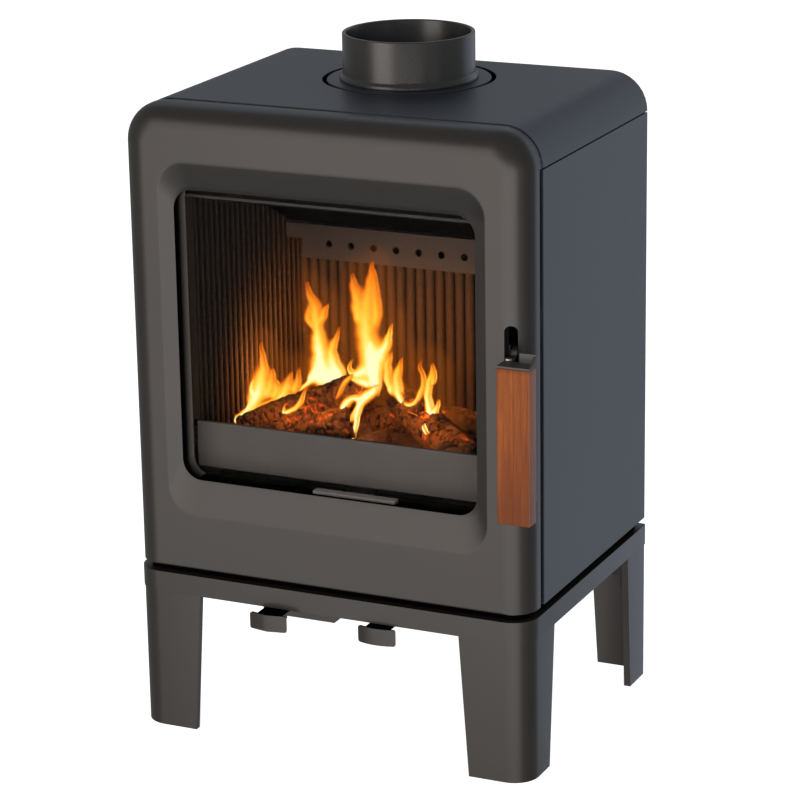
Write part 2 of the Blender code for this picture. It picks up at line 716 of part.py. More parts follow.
def make_casing():
    floor = [box_outline(-PANEL_IN + GAP, PANEL_IN - GAP, PANEL_FRONT, BODY_BACK - PANEL_T - GAP)]
    for _, middle, _, _, _, _, _, _ in AIR_CONTROLS:
        floor.append(inlet_outline(middle))
    part("base_plate", flat_mesh("XY", floor, FLOOR_LOW, FLOOR_TOP), BLACK_STEEL)
    top_edge = BODY_TOP - TOP_CORNER - TOP_SEAM
    side = box_outline(PANEL_FRONT, BODY_BACK, BODY_BOTTOM, top_edge)
    part("side_panel_left", flat_mesh("YZ", [side], -BODY_HALF, -PANEL_IN), PAINTED_SHEET)
    part("side_panel_right", flat_mesh("YZ", [side], PANEL_IN, BODY_HALF), PAINTED_SHEET)
    back = [arch_outline(PANEL_IN - GAP, BODY_BOTTOM, BODY_TOP - PANEL_T - GAP, TOP_CORNER - PANEL_T)]
    first = -(SLOT_COUNT - 1) / 2 * SLOT_PITCH
    for index in range(SLOT_COUNT):
        x = first + index * SLOT_PITCH
        back.append(rounded_box(x - SLOT_WIDTH / 2, x + SLOT_WIDTH / 2, SLOT_TOP - SLOT_HEIGHT,
                                SLOT_TOP, SLOT_WIDTH / 2.01, SLOT_WIDTH / 2.01, 3))
    part("rear_panel", flat_mesh("XZ", back, BODY_BACK - PANEL_T, BODY_BACK), PAINTED_SHEET)
    outer = arc(BODY_HALF - TOP_CORNER, BODY_TOP - TOP_CORNER, TOP_CORNER, 0, 90, 9)
    outer += arc(TOP_CORNER - BODY_HALF, BODY_TOP - TOP_CORNER, TOP_CORNER, 90, 180, 9)
    inner_r = TOP_CORNER - PANEL_T
    inner = arc(TOP_CORNER - BODY_HALF, BODY_TOP - TOP_CORNER, inner_r, 180, 90, 9)
    inner += arc(BODY_HALF - TOP_CORNER, BODY_TOP - TOP_CORNER, inner_r, 90, 0, 9)
    top = part("top_panel", flat_mesh("XZ", [outer + inner], PANEL_FRONT, BODY_BACK), PAINTED_SHEET,
               smooth=30)
    cut(top, "flue_hole", rods_mesh("Z", [(0, FLUE_Y, 0)], DISC_R + DISC_GAP, BODY_TOP - TOP_CORNER,
                                    BODY_TOP + OVER, FLUE_STEPS))


def inlet_outline(middle):
    """The air inlet above one slider's shutter."""
    start = AIR_BOX_BACK - AIR_BOX_T - SHUTTER_BACK_ROOM - AIR_INLET_LENGTH
    return box_outline(middle - AIR_INLET_HALF, middle + AIR_INLET_HALF, start,
                       start + AIR_INLET_LENGTH)


def make_front_plate():
    half = BODY_HALF - FRONT_PLATE_INSET
    corner = TOP_CORNER - FRONT_PLATE_INSET
    outline = [arch_outline(half, DOOR_BOTTOM, BODY_TOP - FRONT_PLATE_INSET, corner)]
    outline.append(rounded_box(-MOUTH_HALF, MOUTH_HALF, MOUTH_BOTTOM, MOUTH_TOP, MOUTH_CORNER,
                               MOUTH_CORNER, 2))
    outline.append(box_outline(-ASH_DOOR_HALF, ASH_DOOR_HALF, SHELL_LOW + SHELL_T, ASH_DOOR_TOP))
    outline.append(box_outline(LEVER_PLATE_LEFT - LATCH_SLOT_ROOM, LEVER_PLATE_RIGHT + LATCH_SLOT_SWING,
                               LATCH_SLOT_LOW, LATCH_SLOT_TOP))
    part("front_plate", flat_mesh("XZ", outline, FRONT_PLATE_FACE, FRONT_PLATE_BACK), BLACK_STEEL)
    low_z = BLADE_TOP_Z + KEEPER_ROOM
    part("latch_keeper", block_mesh((KEEPER_LEFT, FRONT_PLATE_BACK + GAP, low_z),
                                    (KEEPER_RIGHT, FRONT_PLATE_BACK + GAP + KEEPER_T,
                                     low_z + KEEPER_H)), BRIGHT_STEEL)


# Firebox

def make_shell():
    front = FRONT_PLATE_BACK + GAP
    shell = part("firebox_shell", block_mesh((-SHELL_HALF, front, SHELL_LOW),
                                             (SHELL_HALF, SHELL_BACK, SHELL_TOP)), BLACK_STEEL)
    inside = SHELL_HALF - SHELL_T
    cut(shell, "inside", block_mesh((-inside, front - OVER, SHELL_LOW + SHELL_T),
                                    (inside, SHELL_BACK - SHELL_T, SHELL_TOP - SHELL_T)))
    hole = SLEEVE_R - DISC_SLEEVE_T + DISC_BORE / 2
    cut(shell, "flue_hole", rods_mesh("Z", [(0, FLUE_Y, 0)], hole, SHELL_TOP - SHELL_T - OVER,
                                      SHELL_TOP + OVER, FLUE_STEPS))
    for label, middle, _, _, _, _, _, _ in AIR_CONTROLS:
        cut(shell, f"inlet_{label}", flat_mesh("XY", [inlet_outline(middle)], SHELL_LOW - OVER,
                                               SHELL_LOW + SHELL_T + OVER / 2))
    rail_top = HEARTH_TOP - HEARTH_T - GAP
    for label, side in (("left", -1), ("right", 1)):
        edges = sorted((side * (inside + SHELL_T / 2), side * (inside - RAIL_WIDTH)))
        join(shell, f"hearth_rail_{label}", block_mesh(
            (edges[0], front + BITE, rail_top - RAIL_T),
            (edges[1], SHELL_BACK - SHELL_T / 2, rail_top)))
        edges = sorted((side * ASH_RUNNER_X, side * (ASH_RUNNER_X + ASH_RUNNER_WIDTH)))
        join(shell, f"ash_runner_{label}", block_mesh(
            (edges[0], front + BITE, SHELL_LOW + SHELL_T / 2),
            (edges[1], ASH_RUNNER_BACK, ASH_RUNNER_TOP)))
        join(shell, f"ash_stop_{label}", block_mesh(
            (edges[0], ASH_STOP_FRONT, SHELL_LOW + SHELL_T / 2),
            (edges[1], SHELL_BACK - SHELL_T / 2, ASH_RUNNER_TOP)))


def rib_points(start, end, base, height):
    """A row of rounded ribs between two places, valleys on the base line."""
    count = round(abs(end - start) / FLUTE_PITCH)
    pitch = (end - start) / count
    points = []
    for rib in range(count):
        for step in range(FLUTE_STEPS + 1):
            turn = step / (FLUTE_STEPS + 1)
            points.append((start + pitch * (rib + turn), base + height * math.sin(math.pi * turn)))
    points.append((end, base))
    return points


def make_linings():
    low = HEARTH_TOP + GAP
    front = FRONT_PLATE_BACK + 2 * GAP
    back = LINING_BACK + LINING_BACK_T
    for label, side in (("left", -1), ("right", 1)):
        face = side * LINING_HALF
        ribs = rib_points(FLUTE_START, LINING_BACK, 0.0, FLUTE_DEPTH)
        edge = [(face + side * FLUTE_DEPTH - side * height, y) for y, height in ribs]
        outline = [(side * (LINING_HALF + LINING_T), front), (face, front), (face, FLUTE_START)]
        outline += edge
        outline += [(face + side * FLUTE_DEPTH, back), (side * (LINING_HALF + LINING_T), back)]
        lining = part(f"lining_{label}", flat_mesh("XY", [outline], low, LINING_TOP), FIREBRICK)
        seat = sorted((face - side * OVER, face + side * (ROD_SEAT + GAP)))
        cut(lining, "rod_seat", rods_mesh("X", [(0, ROD_Y, rod_z())], ROD_R + GAP, seat[0], seat[1], 12))
    half = LINING_HALF + FLUTE_DEPTH - GAP
    ribs = rib_points(half, -half, LINING_BACK + FLUTE_DEPTH, -FLUTE_DEPTH)
    outline = [(-half, back), (half, back)] + ribs
    part("lining_rear", flat_mesh("XY", [outline], low, LINING_TOP), FIREBRICK)


def baffle_underside(y):
    """Height of the baffle's sloping underside."""
    return AIR_BAR_TOP + GAP + (BAFFLE_BACK - y) * math.tan(BAFFLE_SLOPE)


def rod_z():
    return baffle_underside(ROD_Y) - (ROD_R + GAP) / math.cos(BAFFLE_SLOPE)


def make_inner_fittings():
    half = LINING_HALF - GAP
    back = LINING_BACK - GAP
    t = AIR_BAR_T
    channel = [(AIR_BAR_FRONT, AIR_BAR_LOW), (back, AIR_BAR_LOW), (back, AIR_BAR_LOW + t),
               (AIR_BAR_FRONT + t, AIR_BAR_LOW + t), (AIR_BAR_FRONT + t, AIR_BAR_TOP - t),
               (back, AIR_BAR_TOP - t), (back, AIR_BAR_TOP), (AIR_BAR_FRONT, AIR_BAR_TOP)]
    bar = part("air_bar", flat_mesh("YZ", [channel], -half, half), BLACK_STEEL)
    first = -(AIR_HOLES - 1) / 2 * AIR_HOLE_PITCH
    places = [(first + index * AIR_HOLE_PITCH, 0, AIR_HOLE_Z) for index in range(AIR_HOLES)]
    cut(bar, "holes", rods_mesh("Y", places, AIR_HOLE_R, AIR_BAR_FRONT - OVER, AIR_BAR_FRONT + t + OVER,
                                12))
    for label, side in (("left", -1), ("right", 1)):
        edges = sorted((side * (half + OVER), side * (half - AIR_BAR_NOTCH)))
        cut(bar, f"notch_{label}", block_mesh((edges[0], AIR_BAR_FRONT - OVER, AIR_BAR_LOW - OVER),
                                              (edges[1], back + OVER, AIR_BAR_NOTCH_TOP)))
    run, rise = math.cos(BAFFLE_SLOPE) * BAFFLE_T, math.sin(BAFFLE_SLOPE) * BAFFLE_T
    slab = [(BAFFLE_BACK, baffle_underside(BAFFLE_BACK)),
            (BAFFLE_BACK + rise, baffle_underside(BAFFLE_BACK) + run),
            (BAFFLE_FRONT + rise, baffle_underside(BAFFLE_FRONT) + run),
            (BAFFLE_FRONT, baffle_underside(BAFFLE_FRONT))]
    part("baffle_plate", flat_mesh("YZ", [slab], -half, half), FIREBRICK)
    rod_half = LINING_HALF + ROD_SEAT - GAP
    rod = [(0, rod_half), (ROD_R, rod_half), (ROD_R, -rod_half), (0, -rod_half)]
    turned("baffle_rod", rod, (0, ROD_Y, rod_z()), GRATE_IRON, axis="X", steps=12)
    low, top, face = DEFLECTOR_LOW, DEFLECTOR_LOW + DEFLECTOR_T, FRONT_PLATE_BACK + GAP
    angle = [(DEFLECTOR_FRONT, low), (DEFLECTOR_BACK, low), (DEFLECTOR_BACK, top),
             (face + DEFLECTOR_T, top), (face + DEFLECTOR_T, DEFLECTOR_TOP), (face, DEFLECTOR_TOP),
             (face, top), (DEFLECTOR_FRONT, top)]
    part("airwash_deflector", flat_mesh("YZ", [angle], -half, half), BLACK_STEEL)
    foot = half - GUARD_FOOT
    floor = HEARTH_TOP + GAP
    guard = [(-half, floor), (-foot, floor), (-foot, GUARD_LOW), (foot, GUARD_LOW), (foot, floor),
             (half, floor), (half, GUARD_TOP), (-half, GUARD_TOP)]
    part("log_guard", flat_mesh("XZ", [guard], GUARD_FRONT, GUARD_FRONT + GUARD_T), GRATE_IRON)


def make_hearth():
    low = HEARTH_TOP - HEARTH_T
    front = FRONT_PLATE_BACK + 2 * GAP
    half = SHELL_HALF - SHELL_T - GAP
    hearth = part("hearth_plate", block_mesh((-half, front, low),
                                             (half, SHELL_BACK - SHELL_T - GAP, HEARTH_TOP)), FIREBRICK)
    room = GRATE_HALF + GRATE_TRAVEL + GRATE_ROOM
    cut(hearth, "grate_recess", block_mesh((-room, GRATE_FRONT - GRATE_END_ROOM, GRATE_LOW - GAP),
                                           (room, GRATE_BACK + GRATE_END_ROOM, HEARTH_TOP + OVER)))
    hole = GRATE_HALF - GRATE_LEDGE + GRATE_ROOM
    cut(hearth, "ash_hole", block_mesh((-hole, GRATE_FRONT + GRATE_LEDGE, low - OVER),
                                       (hole, GRATE_BACK - GRATE_LEDGE, HEARTH_TOP)))
    reach = LEVER_WIDTH / 2 + GRATE_TRAVEL + LEVER_ROOM
    cut(hearth, "lever_groove", block_mesh(
        (LEVER_X - reach, front - OVER, HEARTH_TOP - LEVER_T - LEVER_UNDER),
        (LEVER_X + reach, GRATE_FRONT + OVER, HEARTH_TOP + OVER)))
    outline = [box_outline(-GRATE_HALF, GRATE_HALF, GRATE_FRONT, GRATE_BACK)]
    middle = (GRATE_FRONT + GRATE_BACK) / 2
    first = -(GRATE_SLOTS - 1) / 2 * GRATE_SLOT_PITCH
    for index in range(GRATE_SLOTS):
        x = first + index * GRATE_SLOT_PITCH
        outline.append(box_outline(x - GRATE_SLOT_WIDTH / 2, x + GRATE_SLOT_WIDTH / 2,
                                   middle - GRATE_SLOT_LENGTH / 2, middle + GRATE_SLOT_LENGTH / 2))
    part("grate", flat_mesh("XY", outline, GRATE_LOW, GRATE_LOW + GRATE_T), GRATE_IRON, grate_axis)
    top = HEARTH_TOP - GAP
    side = [(GRATE_FRONT - GAP, top - LEVER_T), (GRATE_FRONT - GAP, top), (LEVER_STEP_BACK, top),
            (LEVER_STEP_FRONT, top + LEVER_LIFT), (LEVER_FRONT, top + LEVER_LIFT),
            (LEVER_FRONT, top + LEVER_LIFT - LEVER_T),
            (LEVER_STEP_FRONT - LEVER_UNDER, top + LEVER_LIFT - LEVER_T),
            (LEVER_STEP_BACK - LEVER_UNDER, top - LEVER_T)]
    lever = part("grate_lever", flat_mesh("YZ", [side], LEVER_X - LEVER_WIDTH / 2,
                                          LEVER_X + LEVER_WIDTH / 2), GRATE_IRON, grate_axis)
    join(lever, "bar", block_mesh(
        (LEVER_X - LEVER_BAR / 2, LEVER_FRONT - FLUSH, top + LEVER_LIFT - LEVER_T - FLUSH),
        (LEVER_X + LEVER_BAR / 2, LEVER_FRONT + LEVER_BAR_DEPTH, top + LEVER_LIFT + FLUSH)))


def make_ash_pan():
    face_back = FRONT_PLATE_FACE - GAP
    low = ASH_RUNNER_TOP + GAP
    pan = part("ash_pan", block_mesh((-ASH_HALF, face_back - ASH_FACE_T / 2, low),
                                     (ASH_HALF, ASH_BACK, ASH_TOP)), BLACK_STEEL)
    join(pan, "face", block_mesh((-ASH_FACE_HALF, face_back - ASH_FACE_T, ASH_FACE_LOW),
                                 (ASH_FACE_HALF, face_back, ASH_FACE_TOP)))
    pull_z = (ASH_FACE_LOW + ASH_FACE_TOP) / 2
    join(pan, "pull", block_mesh(
        (-ASH_PULL_HALF, face_back - ASH_FACE_T - ASH_PULL_OUT, pull_z - ASH_FACE_T / 2),
        (ASH_PULL_HALF, face_back - ASH_FACE_T / 2, pull_z + ASH_FACE_T / 2)))
    cut(pan, "inside", block_mesh((-ASH_HALF + ASH_T, FRONT_PLATE_BACK, low + ASH_T),
                                  (ASH_HALF - ASH_T, ASH_BACK - ASH_T, ASH_TOP + OVER)))


def make_logs():
    for name, low_end, high_end, radius in LOGS:
        start, end = Vector(low_end), Vector(high_end)
        along = end - start
        bm = bmesh.new()
        bmesh.ops.create_cone(bm, cap_ends=True, segments=LOG_SIDES, radius1=radius,
                              radius2=radius * LOG_TAPER, depth=along.length)
        turn = along.to_track_quat("Z", "Y").to_matrix().to_4x4()
        bmesh.ops.transform(bm, matrix=Matrix.Translation((start + end) / 2) @ turn, verts=bm.verts)
        mesh = bpy.data.meshes.new(name)
        bm.to_mesh(mesh)
        bm.free()
        part(name, mesh, CHARRED_WOOD, smooth=50)


# Flue collar and the disc around it

def make_flue():
    seat = BODY_TOP + GAP
    inner = FLUE_R - FLUE_WALL
    collar = [(FLUE_R, FLUE_TOP), (FLUE_R, seat + FLUE_BEAD_H + FLUE_BEAD_SLOPE),
              (FLUE_BEAD_R, seat + FLUE_BEAD_H), (FLUE_BEAD_R, seat), (FLUE_R, seat),
              (FLUE_R, FLUE_LOW), (inner, FLUE_LOW), (inner, FLUE_TOP)]
    turned("flue_collar", collar, (0, FLUE_Y, 0), PAINTED_CAST, steps=FLUE_STEPS, closed=True)
    bore = FLUE_R + DISC_BORE
    disc = [(DISC_R, BODY_TOP), (DISC_R, BODY_TOP - PANEL_T), (SLEEVE_R, BODY_TOP - PANEL_T),
            (SLEEVE_R, SHELL_TOP + GAP), (bore, SHELL_TOP + GAP), (bore, BODY_TOP)]
    turned("flue_disc", disc, (0, FLUE_Y, 0), PAINTED_SHEET, steps=FLUE_STEPS, closed=True)


# Air boxes and sliders

def tab_outline(middle, front):
    """The bowed plate that a finger pulls, seen from above."""
    half = TAB_WIDTH / 2
    radius = (half ** 2 + TAB_BOW ** 2) / (2 * TAB_BOW)
    spread = math.degrees(math.asin(half / radius))
    centre = front + radius
    outer = arc(middle, centre, radius, 270 - spread, 270 + spread, TAB_STEPS)
    inner = arc(middle, centre, radius - TAB_T, 270 + spread, 270 - spread, TAB_STEPS)
    return outer + inner


def make_air_control(label, middle, left, right, bottom, front, travel_in, travel_out):
    top = FLOOR_LOW - GAP
    c = AIR_BOX_CHAMFER
    section = [(left + c, bottom), (right - c, bottom), (right, bottom + c), (right, top),
               (left, top), (left, bottom + c)]
    box = part(f"air_box_{label}", flat_mesh("XZ", [section], AIR_BOX_FRONT, AIR_BOX_BACK), PAINTED_CAST)
    t = AIR_BOX_T
    shelf_top = SLIDER_LOW - GAP
    cut(box, "upper_room", block_mesh((left + t, AIR_BOX_FRONT + t, shelf_top),
                                      (right - t, AIR_BOX_BACK - t, top + OVER)))
    room_low, room_top = bottom + t, shelf_top - SHELF_T
    cut(box, "lower_room", block_mesh((left + t + c, AIR_BOX_FRONT + t, room_low),
                                      (right - t - c, AIR_BOX_BACK - t, room_top)))
    cut(box, "rear_inlet", block_mesh((left + t + c, AIR_BOX_BACK - t - OVER, room_low + BITE),
                                      (right - t - c, AIR_BOX_BACK + OVER, room_top - BITE)))
    cut(box, "inlet", flat_mesh("XY", [inlet_outline(middle)], room_low + BITE, shelf_top + OVER))
    slot = SLIDER_WIDTH / 2 + SLIDER_ROOM
    cut(box, "slider_slot", block_mesh((middle - slot, AIR_BOX_FRONT - OVER, shelf_top),
                                       (middle + slot, AIR_BOX_FRONT + t + OVER,
                                        SLIDER_LOW + SLIDER_T + SLIDER_ROOM)))
    carrier = axis_empty(f"air_axis_{label}", (middle, front, SLIDER_LOW), stove)
    shutter_front = AIR_BOX_FRONT + t + travel_out + SLIDER_ROOM
    shutter_back = AIR_BOX_BACK - t - travel_in - SLIDER_ROOM
    stem = SLIDER_WIDTH / 2
    wide = SHUTTER_WIDTH / 2
    tab_back = front + TAB_T - FLUSH
    plan = [(middle - stem, tab_back), (middle + stem, tab_back),
            (middle + stem, shutter_front), (middle + wide, shutter_front + SHUTTER_SHOULDER),
            (middle + wide, shutter_back), (middle - wide, shutter_back),
            (middle - wide, shutter_front + SHUTTER_SHOULDER), (middle - stem, shutter_front)]
    slider = part(f"air_slider_{label}", flat_mesh("XY", [plan], SLIDER_LOW, SLIDER_LOW + SLIDER_T),
                  PAINTED_CAST, carrier)
    join(slider, "tab", flat_mesh("XY", [tab_outline(middle, front)], TAB_LOW, TAB_TOP))


# Door

def rounded_front(half, low, top, corner, front, back, edge, segments):
    """A door-shaped block whose front edge is rounded at its two sides and its top."""
    tail = low - 2 * edge
    bm = bmesh.new()
    bm.from_mesh(flat_mesh("XZ", [arch_outline(half, tail, top, corner)], front, back))
    rim = []
    for line in bm.edges:
        ends = [vert.co for vert in line.verts]
        on_front = all(abs(end.y - front) < 0.00001 for end in ends)
        at_tail = all(abs(end.z - tail) < 0.00001 for end in ends)
        outside = any(abs(face.normal.y) < 0.5 for face in line.link_faces)
        if on_front and outside and not at_tail:
            rim.append(line)
    bmesh.ops.bevel(bm, geom=rim, offset=edge, offset_type="OFFSET", segments=segments, profile=0.5,
                    affect="EDGES", clamp_overlap=False, material=-1)
    geometry = bm.verts[:] + bm.edges[:] + bm.faces[:]
    bmesh.ops.bisect_plane(bm, geom=geometry, dist=0.000001, plane_co=(0, 0, low),
                           plane_no=(0, 0, -1), clear_outer=True)
    open_edges = [line for line in bm.edges if len(line.link_faces) == 1]
    bmesh.ops.holes_fill(bm, edges=open_edges, sides=0)
    bmesh.ops.remove_doubles(bm, verts=bm.verts, dist=0.000005)
    bmesh.ops.recalc_face_normals(bm, faces=bm.faces)
    mesh = bpy.data.meshes.new("rounded_front")
    bm.to_mesh(mesh)
    bm.free()
    return mesh


def loft_mesh(loops):
    """A closed solid through loops of equally many points, capped at both ends."""
    bm = bmesh.new()
    rings = []
    for loop in loops:
        corners = [bm.verts.new(point) for point in loop]
        rings.append([bm.edges.new(pair) for pair in zip(corners, corners[1:] + corners[:1])])
    for first, second in zip(rings, rings[1:]):
        bmesh.ops.bridge_loops(bm, edges=first + second)
    for ring in (rings[0], rings[-1]):
        bmesh.ops.holes_fill(bm, edges=ring, sides=0)
    bmesh.ops.recalc_face_normals(bm, faces=bm.faces)
    mesh = bpy.data.meshes.new("loft")
    bm.to_mesh(mesh)
    bm.free()
    return mesh


def window_outline(grow):
    """The window's outline, drawn outwards by grow."""
    r = WINDOW_CORNER + grow
    return rounded_box(-WINDOW_HALF - grow, WINDOW_HALF + grow, WINDOW_LOW - grow,
                       WINDOW_TOP + grow, r, r, 6)


def dish_cutter():
    """The sloping dish around the window, and the window itself."""
    outer = rounded_box(-DISH_HALF, DISH_HALF, DISH_LOW, DISH_TOP, DISH_CORNER, DISH_CORNER, 6)
    inner = window_outline(0)
    reach = OVER / DISH_DEPTH
    flared = [(u + (u - iu) * reach, v + (v - iv) * reach)
              for (u, v), (iu, iv) in zip(outer, inner)]
    loops = [[(u, -OVER, v) for u, v in flared], [(u, DISH_DEPTH, v) for u, v in inner],
             [(u, DOOR_PLATE + OVER, v) for u, v in inner]]
    return loft_mesh(loops)


def ear_places():
    """Middle of each ear that holds the glass frame: two at each side."""
    reach = RETAINER_HALF + RETAINER_WIDTH + EAR_REACH / 2
    return [(side * reach, 0, z) for side in (-1, 1) for z in EAR_ZS]


def hinge_place(z=0.0):
    return (HINGE_X, HINGE_Y, z)


def make_door():
    door = part("door_casting", rounded_front(BODY_HALF, DOOR_BOTTOM, BODY_TOP, TOP_CORNER, 0.0,
                                              DOOR_BACK, DOOR_EDGE, 6), PAINTED_CAST, door_axis, smooth=35)
    cavity = rounded_front(BODY_HALF - DOOR_WALL, DOOR_BOTTOM + DOOR_FLOOR_T, BODY_TOP - DOOR_WALL,
                           TOP_CORNER - DOOR_WALL, DOOR_PLATE, DOOR_BACK + OVER, DOOR_INNER_EDGE, 4)
    cut(door, "cavity", cavity)
    join(door, "ear_bosses", rods_mesh("Y", ear_places(), EAR_BOSS_R, DOOR_PLATE - OVER / 2,
                                       glass_back() - GAP, 12))
    lug_left = (SLOT_LEFT - LUG_ROOM - LUG_T, SLOT_LEFT - LUG_ROOM)
    lug_right = (SLOT_RIGHT + LUG_ROOM, BODY_HALF - DOOR_WALL + OVER / 2)
    for label, edges in (("left", lug_left), ("right", lug_right)):
        join(door, f"pivot_lug_{label}", block_mesh(
            (edges[0], DOOR_PLATE - BITE, PIVOT_Z - LUG_HALF), (edges[1], LUG_BACK, PIVOT_Z + LUG_HALF)))
    for label, z in zip(HINGE_NAMES, HINGE_ZS):
        top = z + HINGE_H
        join(door, f"hinge_boss_{label}", rods_mesh("Z", [hinge_place()], BOSS_R, top - EYE_ROOM,
                                                    top + BOSS_H, 16))
        floor = z - PIN_HEAD_H - 2 * EYE_ROOM
        pocket = rods_mesh("Z", [hinge_place()], EYE_R + EYE_ROOM, floor, top + GAP, 20)
        cut(door, f"eye_pocket_{label}", pocket)
        arm_room = block_mesh((HINGE_X, ARM_LOW - EYE_ROOM, floor + GAP),
                              (HINGE_X + ARM_ROOM, ARM_LOW + ARM_T + EYE_ROOM, top + 2 * GAP))
        cut(door, f"arm_pocket_{label}", arm_room)
        cut(door, f"pin_hole_{label}", rods_mesh("Z", [hinge_place()], PIN_R + RUN, top - OVER,
                                                 top + BOSS_H + OVER, 24))
    cut(door, "dish", dish_cutter())
    slot = rounded_box(SLOT_LEFT, SLOT_RIGHT, SLOT_LOW, SLOT_HIGH, 0.001,
                       (SLOT_RIGHT - SLOT_LEFT) / 2.01, 4)
    cut(door, "lever_slot", flat_mesh("XZ", [slot], -OVER, LUG_BACK + OVER))
    cut(door, "pivot_hole", rods_mesh("X", [(0, PIVOT_Y, PIVOT_Z)], PIVOT_R + RUN,
                                      lug_left[0] - OVER, pivot_end() + GAP, 20))
    cut(door, "ear_screw_holes", rods_mesh("Y", ear_places(), EAR_SCREW_R + SCREW_ROOM, EAR_SCREW_SINK,
                                           glass_back() + OVER, 8))


def pivot_end():
    """Right end of the handle's pivot pin, inside the rounded edge of the door."""
    return SLOT_RIGHT + LUG_ROOM + LUG_T


def glass_front():
    return DOOR_PLATE + GAP + GLASS_SEAL_T + GAP


def glass_back():
    return glass_front() + GLASS_T


def make_glazing():
    lap = GLASS_LAP
    seal = [window_outline(lap), window_outline(lap - GLASS_SEAL_WIDTH)]
    part("glass_seal", flat_mesh("XZ", seal, DOOR_PLATE + GAP, glass_front() - GAP), ROPE_SEAL, door_axis)
    part("door_glass", flat_mesh("XZ", [window_outline(lap)], glass_front(), glass_back()), CLEAR_GLASS,
         door_axis)
    side = RETAINER_HALF - WINDOW_HALF
    low = WINDOW_LOW - RETAINER_MARGIN
    top = WINDOW_TOP + RETAINER_MARGIN

    def frame_outline(grow):
        r = max(WINDOW_CORNER - side + grow, 0.002)
        half = RETAINER_HALF + grow
        return rounded_box(-half, half, low - grow, top + grow, r, r, 5)

    front = glass_back() + GAP
    frame = part("glass_retainer", flat_mesh("XZ", [frame_outline(RETAINER_WIDTH), frame_outline(0)],
                                             front, RETAINER_BACK), BLACK_STEEL, door_axis)
    channel = [frame_outline(RETAINER_WIDTH - RETAINER_LIP), frame_outline(RETAINER_LIP)]
    cut(frame, "channel", flat_mesh("XZ", channel, CHANNEL_FLOOR, RETAINER_BACK + OVER))
    for index, (x, _, z) in enumerate(ear_places()):
        side_sign = 1 if x > 0 else -1
        inner = side_sign * (RETAINER_HALF + RETAINER_WIDTH - RETAINER_LIP / 2)
        outer = side_sign * (RETAINER_HALF + RETAINER_WIDTH + EAR_REACH)
        low_x, high_x = sorted((inner, outer))
        join(frame, f"ear_{index}", block_mesh((low_x, front, z - EAR_HALF),
                                               (high_x, front + EAR_T, z + EAR_HALF)))
    cut(frame, "ear_holes", rods_mesh("Y", ear_places(), EAR_SCREW_R + SCREW_ROOM, front - OVER,
                                      front + EAR_T + OVER, 8))
    names = ("left_low", "left_high", "right_low", "right_high")
    profile = screw_profile(EAR_SCREW_HEAD_R, EAR_SCREW_HEAD_H, EAR_SCREW_R, EAR_SCREW_DEPTH)
    for label, (x, _, z) in zip(names, ear_places()):
        turned(f"retainer_screw_{label}", profile, (x, front + EAR_T + GAP, z), BRIGHT_STEEL, door_axis,
               axis="Y", steps=8)
    rope = [frame_outline(RETAINER_WIDTH - RETAINER_LIP - GAP), frame_outline(RETAINER_LIP + GAP)]
    part("door_rope_seal", flat_mesh("XZ", rope, CHANNEL_FLOOR + GAP, FRONT_PLATE_FACE - GAP), ROPE_SEAL,
         door_axis)


def make_hinges():
    for label, z in zip(HINGE_NAMES, HINGE_ZS):
        arm_low = ARM_LOW
        arm_high = ARM_LOW + ARM_T
        right = HINGE_X + ARM_RISE
        low_turn = math.degrees(math.asin((arm_low - HINGE_Y) / EYE_R))
        high_turn = math.degrees(math.asin((arm_high - HINGE_Y) / EYE_R))
        back = FRONT_PLATE_FACE - GAP
        plan = [(right, back), (right, arm_low)]
        plan += arc(HINGE_X, HINGE_Y, EYE_R, low_turn, high_turn - 360, 18)
        plan += [(right - ARM_T, arm_high), (right - ARM_T, back - FOOT_T),
                 (right - ARM_T - FOOT_REACH, back - FOOT_T), (right - ARM_T - FOOT_REACH, back)]
        hole = arc(HINGE_X, HINGE_Y, PIN_R + GAP, 0, 345, 23)
        part(f"hinge_bracket_{label}", flat_mesh("XY", [plan, hole], z, z + HINGE_H), BLACK_STEEL)
        length = HINGE_H + BOSS_H - PIN_SHORT
        pin = [(0, length), (PIN_R - PIN_CHAMFER, length), (PIN_R, length - PIN_CHAMFER), (PIN_R, 0),
               (PIN_HEAD_R, 0), (PIN_HEAD_R, -PIN_HEAD_H), (0, -PIN_HEAD_H)]
        turned(f"hinge_pin_{label}", pin, hinge_place(z - GAP), BRIGHT_STEEL, steps=24)


# Handle

